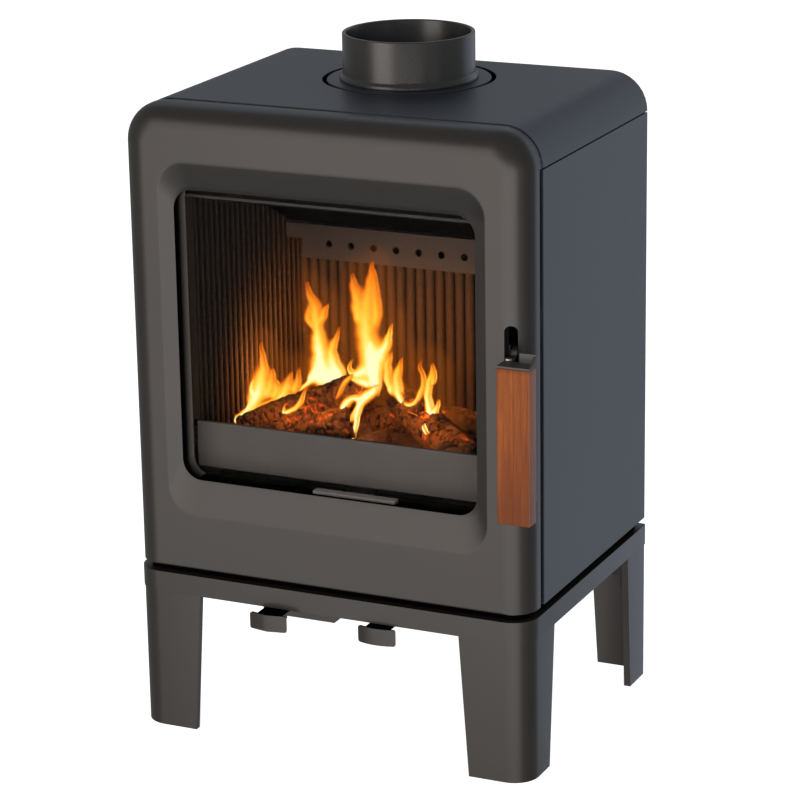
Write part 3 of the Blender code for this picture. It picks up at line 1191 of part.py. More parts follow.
def make_handle():
    low_arc = math.degrees(math.asin((BLADE_TOP_Z - PIVOT_Z) / PIVOT_BOSS_R))
    high_arc = 180 - math.degrees(math.asin((ARM_TOP_Z - PIVOT_Z) / PIVOT_BOSS_R))
    arm_front = GRIP_BACK + GAP
    side = [(arm_front, ARM_BOTTOM_Z), (PIVOT_Y - PIVOT_BOSS_R, ARM_BOTTOM_Z),
            (PIVOT_Y + HEEL_IN, PIVOT_Z - HEEL_DROP), (PIVOT_Y + HEEL_OUT, BLADE_LOW_Z),
            (BLADE_END_Y - BLADE_NOSE, BLADE_LOW_Z), (BLADE_END_Y, BLADE_LOW_Z + BLADE_NOSE),
            (BLADE_END_Y, BLADE_TOP_Z)]
    side += arc(PIVOT_Y, PIVOT_Z, PIVOT_BOSS_R, low_arc, high_arc, 10)
    side += [(arm_front, ARM_TOP_Z)]
    bore = arc(PIVOT_Y, PIVOT_Z, PIVOT_R + RUN, 0, 342, 19)
    lever = part("handle_lever", flat_mesh("YZ", [side, bore], LEVER_PLATE_LEFT, LEVER_PLATE_RIGHT),
                 BLACK_STEEL, handle_axis)
    screw_x = (LEVER_PLATE_LEFT + LEVER_PLATE_RIGHT) / 2
    cut(lever, "cap_screw_hole", rods_mesh("Z", [(screw_x, CAP_SCREW_Y, 0)], GRIP_SCREW_R + SCREW_ROOM,
                                           ARM_TOP_Z - CAP_SCREW_LENGTH, ARM_TOP_Z + OVER, 8))
    start, end = SLOT_LEFT - LUG_ROOM - LUG_T, pivot_end()
    middle = (start + end) / 2
    half = (end - start) / 2
    turned("handle_pivot", [(0, half), (PIVOT_R, half), (PIVOT_R, -half), (0, -half)],
           (middle, PIVOT_Y, PIVOT_Z), BRIGHT_STEEL, door_axis, axis="X", steps=20)
    grip_block = block_mesh((GRIP_LEFT, GRIP_FRONT, GRIP_LOW), (GRIP_RIGHT, GRIP_BACK, GRIP_TOP))
    grip = part("handle_grip", grip_block, OILED_WOOD, handle_axis)
    edge = grip.modifiers.new("edge", "BEVEL")
    edge.width = GRIP_BEVEL
    edge.segments = 2
    screw_places = [(GRIP_SCREW_X, 0, z) for z in GRIP_SCREW_ZS]
    cut(grip, "screw_holes", rods_mesh("Y", screw_places, GRIP_SCREW_R + SCREW_ROOM,
                                       GRIP_BACK - GRIP_SCREW_LENGTH, GRIP_BACK + OVER, 8))
    plate_front = GRIP_BACK + GAP
    plate_back = plate_front + BACKPLATE_T
    cap_low = GRIP_TOP + GAP
    cap_top = cap_low + SHEET_T
    cap = block_mesh((GRIP_LEFT + GAP, GRIP_FRONT, cap_low), (GRIP_RIGHT, plate_back, cap_top))
    bracket = part("handle_bracket", cap, BLACK_STEEL, handle_axis)
    join(bracket, "tongue", block_mesh((LEVER_PLATE_LEFT, plate_front, cap_low + FLUSH),
                                       (LEVER_PLATE_RIGHT, TONGUE_BACK, cap_top - FLUSH)))
    join(bracket, "back_plate", block_mesh((BACKPLATE_LEFT, plate_front, BACKPLATE_LOW),
                                           (GRIP_RIGHT - 5 * FLUSH, plate_back - FLUSH, cap_top - FLUSH)))
    join(bracket, "upstand", block_mesh((UPSTAND_LEFT, plate_front + FLUSH, cap_top - BITE),
                                        (GRIP_RIGHT - FLUSH, plate_back - 2 * FLUSH, UPSTAND_TOP)))
    cheek_back = plate_back - 3 * FLUSH
    cheek = [(GRIP_FRONT + CHEEK_INSET, cap_top - BITE), (cheek_back, cap_top - BITE),
             (cheek_back, UPSTAND_TOP - FLUSH)]
    join(bracket, "cheek", flat_mesh("YZ", [cheek], GRIP_RIGHT - BACKPLATE_T, GRIP_RIGHT - 2 * FLUSH))
    cut(bracket, "cap_hole", rods_mesh("Z", [(screw_x, CAP_SCREW_Y, 0)], GRIP_SCREW_R + SCREW_ROOM,
                                       cap_low - OVER / 2, cap_top + OVER, 8))
    cut(bracket, "grip_holes", rods_mesh("Y", screw_places, GRIP_SCREW_R + SCREW_ROOM, plate_front - OVER,
                                         plate_back + OVER, 8))
    turned("handle_screw_top", screw_profile(GRIP_SCREW_HEAD_R, GRIP_SCREW_HEAD_H, GRIP_SCREW_R,
                                             CAP_SCREW_LENGTH), (screw_x, CAP_SCREW_Y, cap_top + GAP),
           BRIGHT_STEEL, handle_axis, steps=12)
    for label, place in zip(("low", "high"), screw_places):
        turned(f"grip_screw_{label}", screw_profile(GRIP_SCREW_HEAD_R, GRIP_SCREW_HEAD_H, GRIP_SCREW_R,
                                                    GRIP_SCREW_LENGTH),
               (place[0], plate_back + GAP, place[2]), BRIGHT_STEEL, handle_axis, axis="Y", steps=12)


make_base()
for leg_name, leg_right, leg_back, leg_bolt in leg_bolt_places():
    make_leg(leg_name, leg_right, leg_back, leg_bolt)
make_casing()
make_front_plate()
make_shell()
make_linings()
make_inner_fittings()
make_hearth()
make_ash_pan()
make_logs()
make_flue()
for control in AIR_CONTROLS:
    make_air_control(*control)
make_door()
make_glazing()
make_hinges()
make_handle()
bpy.context.view_layer.update()
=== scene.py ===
# %% [markdown]
# # A cast iron wood stove in Blender
# This lesson dresses the machine model of a wood stove: painted castings, folded sheet, a
# fluted firebox behind glass, burning logs and an oiled wooden grip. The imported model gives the
# frame, and every piece made here rides on one of its bodies, so the door, the handle, the grate
# and the air sliders still move. All measures are in metres.

import json
import math

import bmesh
import bpy
from mathutils import Matrix, Vector, noise

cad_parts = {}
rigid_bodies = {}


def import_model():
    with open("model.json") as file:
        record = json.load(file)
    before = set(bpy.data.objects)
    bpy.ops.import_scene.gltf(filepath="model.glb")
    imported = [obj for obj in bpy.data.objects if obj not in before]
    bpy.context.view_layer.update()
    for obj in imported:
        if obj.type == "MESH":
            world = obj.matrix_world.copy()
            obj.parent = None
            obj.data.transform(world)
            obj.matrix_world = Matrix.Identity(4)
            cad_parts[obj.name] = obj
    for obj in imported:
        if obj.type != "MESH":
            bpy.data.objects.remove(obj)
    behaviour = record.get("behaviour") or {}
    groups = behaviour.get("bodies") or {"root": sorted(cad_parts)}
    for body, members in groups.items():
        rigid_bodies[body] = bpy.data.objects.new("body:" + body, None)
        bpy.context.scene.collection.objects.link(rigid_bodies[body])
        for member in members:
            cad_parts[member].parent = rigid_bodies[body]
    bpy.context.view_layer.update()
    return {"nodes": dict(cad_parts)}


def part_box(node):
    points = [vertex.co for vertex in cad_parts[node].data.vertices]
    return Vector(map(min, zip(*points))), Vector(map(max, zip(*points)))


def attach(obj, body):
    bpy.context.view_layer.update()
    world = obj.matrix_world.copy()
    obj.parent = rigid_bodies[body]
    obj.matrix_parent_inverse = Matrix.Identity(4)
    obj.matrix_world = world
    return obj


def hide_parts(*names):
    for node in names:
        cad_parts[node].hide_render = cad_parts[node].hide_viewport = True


for left_over in list(bpy.data.objects):
    bpy.data.objects.remove(left_over)
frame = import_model()
nodes = frame["nodes"]

# %% [markdown]
# ## The stove's own axes
# On a drawing of a stove, the natural zero is the middle of the body, at the front face of the
# door. The frame's zero is the middle of the footprint instead. So the pieces below are drawn in
# the drawing's axes and moved over once, when they are finished. That keeps each number the one
# that a maker would read off the drawing.

# %% Axes, and how a piece is finished
BODY_HALF = 0.2425
door_low, door_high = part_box("door_casting")
TO_FRAME = Vector((door_low.x + BODY_HALF, door_low.y, 0.0))
made = []


def to_stove(point):
    """A point of the frame, in the stove's own axes."""
    return Vector(point) - TO_FRAME


def finish_piece(name, mesh_or_bm, material, body, slot, replaced=(), smooth=40, drawn=True):
    """Makes the object: its mesh goes over to the frame's axes, and it rides on its body."""
    if isinstance(mesh_or_bm, bmesh.types.BMesh):
        mesh = bpy.data.meshes.new(name)
        mesh_or_bm.to_mesh(mesh)
        mesh_or_bm.free()
    else:
        mesh = mesh_or_bm
    if drawn:
        mesh.transform(Matrix.Translation(TO_FRAME))
    mesh.materials.clear()
    mesh.materials.append(material)
    mesh.shade_smooth()
    mesh.set_sharp_from_angle(angle=math.radians(smooth))
    piece = bpy.data.objects.new(name, mesh)
    bpy.context.scene.collection.objects.link(piece)
    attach(piece, body)
    if replaced:
        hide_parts(*replaced)
    made.append(piece)
    return piece


def soften(piece, width, segments=2, angle=32):
    """Rounds the hard edges of a finished piece, as a casting or a brushed sheet edge is."""
    edge = piece.modifiers.new("soft edges", "BEVEL")
    edge.width = width
    edge.segments = segments
    edge.limit_method = "ANGLE"
    edge.angle_limit = math.radians(angle)
    edge.harden_normals = True
    edge.use_clamp_overlap = True
    return piece


print("shift from the drawing to the frame", [round(v, 5) for v in TO_FRAME])

# %% [markdown]
# ## The camera
# The camera stands 3.6 m away, a quarter turn short of the right side and a little above the
# stove, and looks with a long lens, so upright edges stay nearly parallel. Its place and turn
# were worked out from straight edges of the stove, and it is rolled by just under one degree.
# The plain view transform keeps the flames yellow and orange: a filmic one would fade them.

# %% Camera
CAMERA_TURN = math.radians(25.07)
CAMERA_RISE = math.radians(17.11)
CAMERA_ROLL = math.radians(-0.94)
CAMERA_PLACE = Vector((1.4654, -3.11085, 1.4283))
LENS = 142.0

right = Vector((math.cos(CAMERA_TURN), math.sin(CAMERA_TURN), 0))
ahead = Vector((-math.sin(CAMERA_TURN) * math.cos(CAMERA_RISE),
                math.cos(CAMERA_TURN) * math.cos(CAMERA_RISE), -math.sin(CAMERA_RISE)))
above = right.cross(ahead)
side = math.cos(CAMERA_ROLL) * right + math.sin(CAMERA_ROLL) * above
up = -math.sin(CAMERA_ROLL) * right + math.cos(CAMERA_ROLL) * above
turn = Matrix((side, up, -ahead)).transposed().to_4x4()
camera_data = bpy.data.cameras.new("camera")
camera_data.lens = LENS
camera_data.sensor_width = 36.0
camera = bpy.data.objects.new("camera", camera_data)
camera.matrix_world = Matrix.Translation(CAMERA_PLACE) @ turn
bpy.context.scene.collection.objects.link(camera)
bpy.context.scene.camera = camera
bpy.context.scene.view_settings.view_transform = "Standard"
print("camera at", [round(v, 3) for v in CAMERA_PLACE])

# %% [markdown]
# ## Studio
# Dark matt paint shows its shape by what it mirrors, more than by what falls on it. A flat face
# mirrors one direction, so one soft box stands where the door mirrors it, one where the side does
# and one for the top. The directions between them stay dim, so the rounded edges turn dark, as on
# a real casting. The floor is plain and pale, and only the camera sees it, so that it throws no
# glare up the legs.

# %% Floor and lights
def soft_box(name, direction, distance, width, height, glow, color):
    """A soft box that faces the stove; glow is its brightness, whatever its size."""
    target = Vector((0, 0, 0.42))
    data = bpy.data.lights.new(name, "AREA")
    data.shape = "RECTANGLE"
    data.size = width
    data.size_y = height
    data.energy = glow * math.pi * width * height
    data.color = color
    lamp = bpy.data.objects.new(name, data)
    lamp.location = target + Vector(direction).normalized() * distance
    lamp.rotation_mode = "QUATERNION"
    lamp.rotation_quaternion = (target - lamp.location).to_track_quat("-Z", "Y")
    lamp.visible_camera = False
    bpy.context.scene.collection.objects.link(lamp)


soft_box("door box", (-0.36, -0.89, 0.09), 3.0, 1.8, 3.8, 2.42, (1.0, 0.915, 0.850))
soft_box("front box", (0.37, -0.93, -0.16), 3.0, 3.1, 2.1, 2.9, (1.0, 0.925, 0.870))
soft_box("edge box", (0.93, -0.37, -0.10), 3.2, 0.7, 2.4, 0.55, (0.80, 0.89, 1.0))
soft_box("side box", (0.42, 0.87, -0.02), 3.0, 2.2, 3.7, 0.50, (0.68, 0.81, 1.0))
soft_box("ridge box", (-0.04, 0.87, 0.50), 3.0, 1.2, 1.2, 0.22, (0.68, 0.81, 1.0))
soft_box("top box", (-0.44, 0.86, 0.42), 3.0, 1.9, 1.7, 0.055, (0.58, 0.74, 1.0))
soft_box("roll box", (-0.40, 0.56, 0.74), 3.0, 2.2, 0.8, 0.50, (0.68, 0.81, 1.0))
soft_box("overhead box", (0.2, -0.3, 1.0), 3.0, 2.0, 2.0, 0.04, (0.82, 0.90, 1.0))

world = bpy.data.worlds.new("studio")
bpy.context.scene.world = world
world.use_nodes = True
tree = world.node_tree
tree.nodes.clear()
room = tree.nodes.new("ShaderNodeBackground")
backdrop = tree.nodes.new("ShaderNodeBackground")
path = tree.nodes.new("ShaderNodeLightPath")
pick = tree.nodes.new("ShaderNodeMixShader")
out = tree.nodes.new("ShaderNodeOutputWorld")
room.inputs["Color"].default_value = (0.95, 0.97, 1.0, 1)
room.inputs["Strength"].default_value = 0.30
backdrop.inputs["Color"].default_value = (1, 1, 1, 1)
backdrop.inputs["Strength"].default_value = 1.0
tree.links.new(path.outputs["Is Camera Ray"], pick.inputs["Fac"])
tree.links.new(room.outputs[0], pick.inputs[1])
tree.links.new(backdrop.outputs[0], pick.inputs[2])
tree.links.new(pick.outputs[0], out.inputs[0])

bm = bmesh.new()
bmesh.ops.create_grid(bm, x_segments=1, y_segments=1, size=8.0)
floor_mesh = bpy.data.meshes.new("floor")
bm.to_mesh(floor_mesh)
bm.free()
pale = bpy.data.materials.new("pale floor")
pale.use_nodes = True
shader = pale.node_tree.nodes["Principled BSDF"]
shader.inputs["Base Color"].default_value = (0.85, 0.85, 0.85, 1)
shader.inputs["Roughness"].default_value = 0.9
shader.inputs["Specular IOR Level"].default_value = 0.0
shader.inputs["Emission Color"].default_value = (1, 1, 1, 1)
shader.inputs["Emission Strength"].default_value = 0.9
floor_mesh.materials.append(pale)
floor = bpy.data.objects.new("floor", floor_mesh)
floor.location.z = -0.0002
for kind in ("visible_diffuse", "visible_glossy", "visible_shadow"):
    setattr(floor, kind, False)
bpy.context.scene.collection.objects.link(floor)

# %% [markdown]
# ## Helpers for materials
# Every finish below is a small tree of nodes that reads the object's own coordinates, in metres,
# so a speckle has the same size on every piece. `Recipe` adds a node and links it in one line.

# %% Node helper
class Recipe:
    """One material, and short calls to build its tree."""

    def __init__(self, name, viewport=(0.2, 0.2, 0.2)):
        self.material = bpy.data.materials.new(name)
        self.material.use_nodes = True
        self.material.diffuse_color = (*viewport, 1)
        self.tree = self.material.node_tree
        self.shader = self.tree.nodes["Principled BSDF"]

    def node(self, kind, **settings):
        node = self.tree.nodes.new("ShaderNode" + kind)
        for key, value in settings.items():
            setattr(node, key, value)
        return node

    def link(self, source, target):
        self.tree.links.new(source, target)

    def coordinates(self, scale=(1, 1, 1), kind="Object"):
        place = self.node("TexCoord")
        mapping = self.node("Mapping")
        mapping.inputs["Scale"].default_value = scale
        self.link(place.outputs[kind], mapping.inputs["Vector"])
        return mapping.outputs["Vector"]

    def noise(self, vector, scale, detail=4.0, roughness=0.55, distortion=0.0):
        node = self.node("TexNoise")
        node.inputs["Scale"].default_value = scale
        node.inputs["Detail"].default_value = detail
        node.inputs["Roughness"].default_value = roughness
        node.inputs["Distortion"].default_value = distortion
        self.link(vector, node.inputs["Vector"])
        return node.outputs["Fac"]

    def ramp(self, value, stops, ease="LINEAR"):
        node = self.node("ValToRGB")
        node.color_ramp.interpolation = ease
        elements = node.color_ramp.elements
        while len(elements) < len(stops):
            elements.new(0.5)
        for element, (position, color) in zip(elements, stops):
            element.position = position
            element.color = (*color, 1) if len(color) == 3 else color
        self.link(value, node.inputs["Fac"])
        return node.outputs["Color"]

    def span(self, value, low, high, to_low, to_high):
        node = self.node("MapRange")
        for key, number in zip(("From Min", "From Max", "To Min", "To Max"),
                               (low, high, to_low, to_high)):
            node.inputs[key].default_value = number
        self.link(value, node.inputs["Value"])
        return node.outputs["Result"]

    def math(self, operation, first, second):
        node = self.node("Math", operation=operation)
        for socket, value in zip(node.inputs, (first, second)):
            if isinstance(value, (int, float)):
                socket.default_value = value
            else:
                self.link(value, socket)
        return node.outputs[0]

    def blend(self, factor, first, second, mode="MIX"):
        node = self.node("Mix", data_type="RGBA", blend_type=mode)
        for socket, value in ((node.inputs[0], factor), (node.inputs[6], first), (node.inputs[7], second)):
            if isinstance(value, (int, float)):
                socket.default_value = value
            elif isinstance(value, tuple):
                socket.default_value = (*value, 1)
            else:
                self.link(value, socket)
        return node.outputs[2]

    def bump(self, height, strength, distance, before=None):
        node = self.node("Bump")
        node.inputs["Strength"].default_value = strength
        node.inputs["Distance"].default_value = distance
        self.link(height, node.inputs["Height"])
        if before:
            self.link(before, node.inputs["Normal"])
        self.link(node.outputs["Normal"], self.shader.inputs["Normal"])
        return node.outputs["Normal"]

    def set(self, **values):
        for key, value in values.items():
            socket = self.shader.inputs[key.replace("_", " ")]
            if isinstance(value, (int, float)):
                socket.default_value = value
            elif isinstance(value, tuple):
                socket.default_value = (*value, 1)
            else:
                self.link(value, socket)


# %% [markdown]
# ## Matt stove paint
# Stoves are sprayed with heat-proof paint that dries dead matt, with a fine tooth from the
# pigment. Over cast iron the sand of the mould shows through as slow, shallow waves. One recipe
# serves both the castings and the sheet: only the colour and the height of the waves change.

# %% Paint
def stove_paint(name, color, roughness, waves, tooth=0.00006, gloss=0.45):
    recipe = Recipe(name, color)
    where = recipe.coordinates()
    cloud = recipe.noise(where, 9, 3)
    speck = recipe.noise(where, 900, 3, 0.6)
    tone = recipe.math("ADD", recipe.math("MULTIPLY", cloud, 0.6), recipe.math("MULTIPLY", speck, 0.4))
    dark = tuple(c * 0.90 for c in color)
    light = tuple(c * 1.10 for c in color)
    recipe.set(Base_Color=recipe.ramp(tone, [(0.35, dark), (0.65, light)]),
               Roughness=recipe.span(speck, 0.3, 0.7, roughness - 0.04, roughness + 0.04),
               Specular_IOR_Level=gloss)
    wave = recipe.bump(recipe.noise(where, 60, 3), 0.5, waves)
    recipe.bump(recipe.noise(where, 1500, 2), 0.35, tooth, wave)
    return recipe.material


def painted_light_band(name, axis, centre, bright_at, black_at, color):
    """Paint that is light at one distance from a plane and near black at another: a painted highlight fading into
    painted shade.
    """
    recipe = Recipe(name, color)
    parts = recipe.node("SeparateXYZ")
    recipe.link(recipe.coordinates(), parts.inputs[0])
    away = recipe.math("ABSOLUTE", recipe.math("SUBTRACT", parts.outputs[axis], centre), 0)
    black = recipe.span(away, bright_at, black_at, 0.0, 1.0)
    recipe.set(Base_Color=recipe.blend(black, color, (0.0012, 0.0011, 0.0010)), Roughness=0.7,
               Specular_IOR_Level=0.05)
    return recipe.material


# Near-black paint, partly sooty black and partly painted shade: it blackens the window reveal, the gaps under the body
# and the guard, the slider stems, the frame's inner faces, the hearth and the baffle, where shade falls.
soot_and_painted_shade = stove_paint("soot_and_painted_shade", (0.0012, 0.0011, 0.0010), 0.95, 0.0002, gloss=0.0)
cast_paint = stove_paint("matt stove paint on cast iron", (0.0165, 0.0140, 0.0122), 0.36, 0.00012, gloss=0.50)
sheet_paint = stove_paint("matt stove paint on sheet", (0.0170, 0.0210, 0.0305), 0.40, 0.00003)
black_paint = stove_paint("black stove paint", (0.010, 0.010, 0.0105), 0.45, 0.00005)
print("paints", cast_paint.name, sheet_paint.name, black_paint.name)

# %% [markdown]
# ## Drawing with rounded rings
# The door, its window, the glass frame and the rope are all stacks of rounded rings. A ring
# starts as one face with four corners, whose vertices are bevelled into arcs, and only its rim is
# kept. Rings made with the same number of steps have the same number of points, so
# `bridge_loops` joins each to the next in clean rows.

# %% Rings and stacks
def ring(bm, half, low, high, low_r, high_r, y, steps=12):
    """The rim of a rounded box, standing upright at depth y; returns its edges."""
    corners = [bm.verts.new((x, y, z)) for x, z in ((-half, low), (half, low), (half, high), (-half, high))]
    face = bm.faces.new(corners)
    for pair, radius in ((corners[:2], low_r), (corners[2:], high_r)):
        bmesh.ops.bevel(bm, geom=pair, offset=radius, offset_type="OFFSET", segments=steps,
                        profile=0.5, affect="VERTICES", material=-1)
    face = next(f for f in bm.faces if len(f.verts) > 4 and abs(f.calc_center_median().y - y) < 1e-7
                and all(abs(v.co.y - y) < 1e-7 for v in f.verts) and not f.tag)
    rim = face.edges[:]
    bmesh.ops.delete(bm, geom=[face], context="FACES_ONLY")
    return rim


def stack(sizes, steps=12, closed=True):
    """Bridges each ring to the next and welds the seams; a closed stack also joins its two ends."""
    whole = bmesh.new()
    pairs = list(zip(sizes, sizes[1:]))
    if closed:
        pairs.append((sizes[-1], sizes[0]))
    for first, second in pairs:
        band = bmesh.new()
        rims = ring(band, *first, steps) + ring(band, *second, steps)
        bmesh.ops.bridge_loops(band, edges=rims)
        mesh = bpy.data.meshes.new("band")
        band.to_mesh(mesh)
        band.free()
        whole.from_mesh(mesh)
        bpy.data.meshes.remove(mesh)
    bmesh.ops.remove_doubles(whole, verts=whole.verts, dist=0.000002)
    if not closed:
        rims = [edge for edge in whole.edges if len(edge.link_faces) == 1]
        bmesh.ops.holes_fill(whole, edges=rims, sides=0)
    bmesh.ops.recalc_face_normals(whole, faces=whole.faces)
    return whole


def carve(mesh, cutter_bm, operation="DIFFERENCE"):
    """Cuts a closed shape out of a mesh with an exact Boolean, and returns the new mesh."""
    cutter_mesh = bpy.data.meshes.new("cutter")
    cutter_bm.to_mesh(cutter_mesh)
    cutter_bm.free()
    body = bpy.data.objects.new("carved", mesh)
    cutter = bpy.data.objects.new("cutter", cutter_mesh)
    for item in (body, cutter):
        bpy.context.scene.collection.objects.link(item)
    step = body.modifiers.new("carve", "BOOLEAN")
    step.operation = operation
    step.solver = "EXACT"
    step.object = cutter
    result = bpy.data.meshes.new_from_object(body.evaluated_get(bpy.context.evaluated_depsgraph_get()))
    for item in (body, cutter):
        bpy.data.objects.remove(item)
    return result


test = bmesh.new()
print("points in a ring", len(ring(test, 0.2, 0.3, 0.6, 0.02, 0.03, 0.0)))
test.free()

# %% [markdown]
# ## The door
# The real door is one casting: a shallow pan whose front edge is rounded along the sides and the
# top, with a sloping dish around the window. It could be carved out of a block, but a casting has
# even walls, and those come naturally from one closed stack of rings: up the outside, over the
# rounded edge, across the face, down the dish, through the window and back along the inside.

# %% Door casting
DOOR_LOW, DOOR_TOP, DOOR_BACK = 0.1972, 0.729, 0.037
DOOR_CORNER, DOOR_EDGE = 0.044, 0.030
FOOT_EDGE = 0.0016          # small rounding of the door's lower front edge
DISH_HALF, DISH_LOW, DISH_TOP, DISH_CORNER, DISH_DEPTH = 0.196, 0.260, 0.671, 0.033, 0.008
WINDOW_HALF, WINDOW_LOW, WINDOW_TOP, WINDOW_CORNER = 0.181, 0.301, 0.637, 0.024
WALL, PLATE, INNER_EDGE, SILL = 0.007, 0.014, 0.018, 0.0063
SHARP = 0.0004


def foot_rise(y):
    """How far the door's lower edge has curled up at a depth from the front face."""
    if y >= FOOT_EDGE:
        return 0.0
    return FOOT_EDGE - math.sqrt(FOOT_EDGE ** 2 - (FOOT_EDGE - y) ** 2)


def ease(t):
    """Runs from 0 to 1 with a short rounded start."""
    rounding = 0.12
    if t < rounding:
        return t * t / (2 * rounding * (1 - rounding / 2))
    return (t - rounding / 2) / (1 - rounding / 2)


def door_sizes():
    """Half width, low, high, low and high corner radius and depth of each ring of the door."""
    rim = 0.0006
    sizes = [(BODY_HALF - rim, DOOR_LOW + rim, DOOR_TOP - rim, SHARP, DOOR_CORNER - rim, DOOR_BACK),
             (BODY_HALF, DOOR_LOW, DOOR_TOP, SHARP, DOOR_CORNER, DOOR_BACK - rim)]
    for step in range(17):
        angle = math.radians(90) * step / 16
        inset = DOOR_EDGE * (1 - math.cos(angle))
        y = DOOR_EDGE * (1 - math.sin(angle))
        sizes.append((BODY_HALF - inset, DOOR_LOW + foot_rise(y), DOOR_TOP - inset, SHARP,
                          DOOR_CORNER - inset, y))
    rest = 0.001
    sizes.append((BODY_HALF - DOOR_EDGE - rest, DOOR_LOW + FOOT_EDGE + rest, DOOR_TOP - DOOR_EDGE - rest, SHARP,
                  DOOR_CORNER - DOOR_EDGE - rest, 0.0))
    sizes.append((DISH_HALF + rest, DISH_LOW - rest, DISH_TOP + rest, DISH_CORNER + rest, DISH_CORNER + rest, 0.0))
    for share in [0, 0.03, 0.06, 0.09, 0.12, 0.3, 0.5, 0.7, 0.85, 1.0]:
        def between(outer, inner):
            return outer + (inner - outer) * share
        sizes.append((between(DISH_HALF, WINDOW_HALF), between(DISH_LOW, WINDOW_LOW),
                          between(DISH_TOP, WINDOW_TOP), between(DISH_CORNER, WINDOW_CORNER),
                          between(DISH_CORNER, WINDOW_CORNER), DISH_DEPTH * ease(share)))
    for grow, y in ((-0.0006, DISH_DEPTH + 0.0003), (-0.0008, DISH_DEPTH + 0.0009), (-0.0008, PLATE - 0.0005),
                    (0.0, PLATE)):
        sizes.append((WINDOW_HALF + grow, WINDOW_LOW - grow, WINDOW_TOP + grow, WINDOW_CORNER + grow,
                          WINDOW_CORNER + grow, y))
    half, top = BODY_HALF - WALL, DOOR_TOP - WALL
    for step in range(9):
        angle = math.radians(90) * step / 8
        inset = INNER_EDGE * (1 - math.sin(angle))
        y = PLATE + INNER_EDGE * (1 - math.cos(angle))
        sizes.append((half - inset, DOOR_LOW + SILL, top - inset, SHARP,
                          DOOR_CORNER - WALL - inset, y))
    sizes.append((half, DOOR_LOW + SILL, top, SHARP, DOOR_CORNER - WALL, DOOR_BACK - 0.0005))
    sizes.append((half + 0.0005, DOOR_LOW + SILL - 0.0005, top + 0.0005, SHARP,
                      DOOR_CORNER - WALL + 0.0005, DOOR_BACK))
    return sizes


bm = stack(door_sizes())
print("door metal", round(bm.calc_volume() * 1000, 3), "litres")
door_mesh = bpy.data.meshes.new("door")
bm.to_mesh(door_mesh)
bm.free()
print("door skin", len(door_mesh.polygons), "faces")

# %% [markdown]
# The lever comes out through an upright slot near the right edge, and the two hinge eyes need
# pockets in the left wall. These are cut last, as a machinist would mill them in the casting.

# %% Slot and hinge pockets
SLOT_LEFT, SLOT_RIGHT, SLOT_LOW, SLOT_HIGH = 0.2165, 0.2302, 0.460, 0.523
HINGE_X, HINGE_Y, HINGE_ZS = -0.229, 0.019, (0.250, 0.650)
EYE_ROOM_R, EYE_ROOM_LOW, EYE_ROOM_HIGH = 0.0068, -0.0042, 0.0144


def prism(half, low, high, low_r, high_r, front, back, middle=0.0, steps=8):
    """A closed upright prism with rounded corners, used as a cutter or a plate."""
    bm = stack([(half, low, high, low_r, high_r, y) for y in (front, back)], steps, closed=False)
    bmesh.ops.translate(bm, vec=(middle, 0, 0), verts=bm.verts)
    return bm


slot_half = (SLOT_RIGHT - SLOT_LEFT) / 2
door_mesh = carve(door_mesh, prism(slot_half, SLOT_LOW, SLOT_HIGH, 0.001, slot_half * 0.98, -0.01, 0.03,
                                   (SLOT_LEFT + SLOT_RIGHT) / 2))
for z in HINGE_ZS:
    bm = bmesh.new()
    bmesh.ops.create_cone(bm, cap_ends=True, segments=32, radius1=EYE_ROOM_R, radius2=EYE_ROOM_R,
                          depth=EYE_ROOM_HIGH - EYE_ROOM_LOW)
    bmesh.ops.translate(bm, vec=(HINGE_X, HINGE_Y, z + (EYE_ROOM_HIGH + EYE_ROOM_LOW) / 2), verts=bm.verts)
    door_mesh = carve(door_mesh, bm)
    bm = bmesh.new()
    bmesh.ops.create_cube(bm, size=1.0)
    bmesh.ops.scale(bm, vec=(0.015, 0.0056, EYE_ROOM_HIGH - EYE_ROOM_LOW - 0.0004), verts=bm.verts)
    bmesh.ops.translate(bm, vec=(HINGE_X + 0.0075, 0.0165, z + (EYE_ROOM_HIGH + EYE_ROOM_LOW) / 2),
                        verts=bm.verts)
    door_mesh = carve(door_mesh, bm)
door = finish_piece("door", door_mesh, cast_paint, "door", "painted_cast_iron", ["door_casting"], smooth=28)
# The door's second slot paints the window's reveal behind the dish near black, as painted shade.
door.data.materials.append(soot_and_painted_shade)
# A copy of the cast paint turns near black towards the top of the dish, just above the glass: painted shade on the
# dish's top wall.
dish_top_painted_shade = cast_paint.copy()
dish_top_painted_shade.name = "painted shade on the dish above the glass"
tree = dish_top_painted_shade.node_tree
shader = tree.nodes["Principled BSDF"]
tone = shader.inputs["Base Color"].links[0].from_socket
place, height = tree.nodes.new("ShaderNodeTexCoord"), tree.nodes.new("ShaderNodeSeparateXYZ")
rise, darken = tree.nodes.new("ShaderNodeMapRange"), tree.nodes.new("ShaderNodeMix")
darken.data_type = "RGBA"
rise.inputs["From Min"].default_value, rise.inputs["From Max"].default_value = 0.628, 0.642
tree.links.new(place.outputs["Object"], height.inputs[0])
tree.links.new(height.outputs["Z"], rise.inputs["Value"])
tree.links.new(rise.outputs["Result"], darken.inputs["Factor"])
tree.links.new(tone, darken.inputs[6])
darken.inputs[7].default_value = (0.0035, 0.0030, 0.0028, 1)
tree.links.new(darken.outputs[2], shader.inputs["Base Color"])
door.data.materials.append(dish_top_painted_shade)
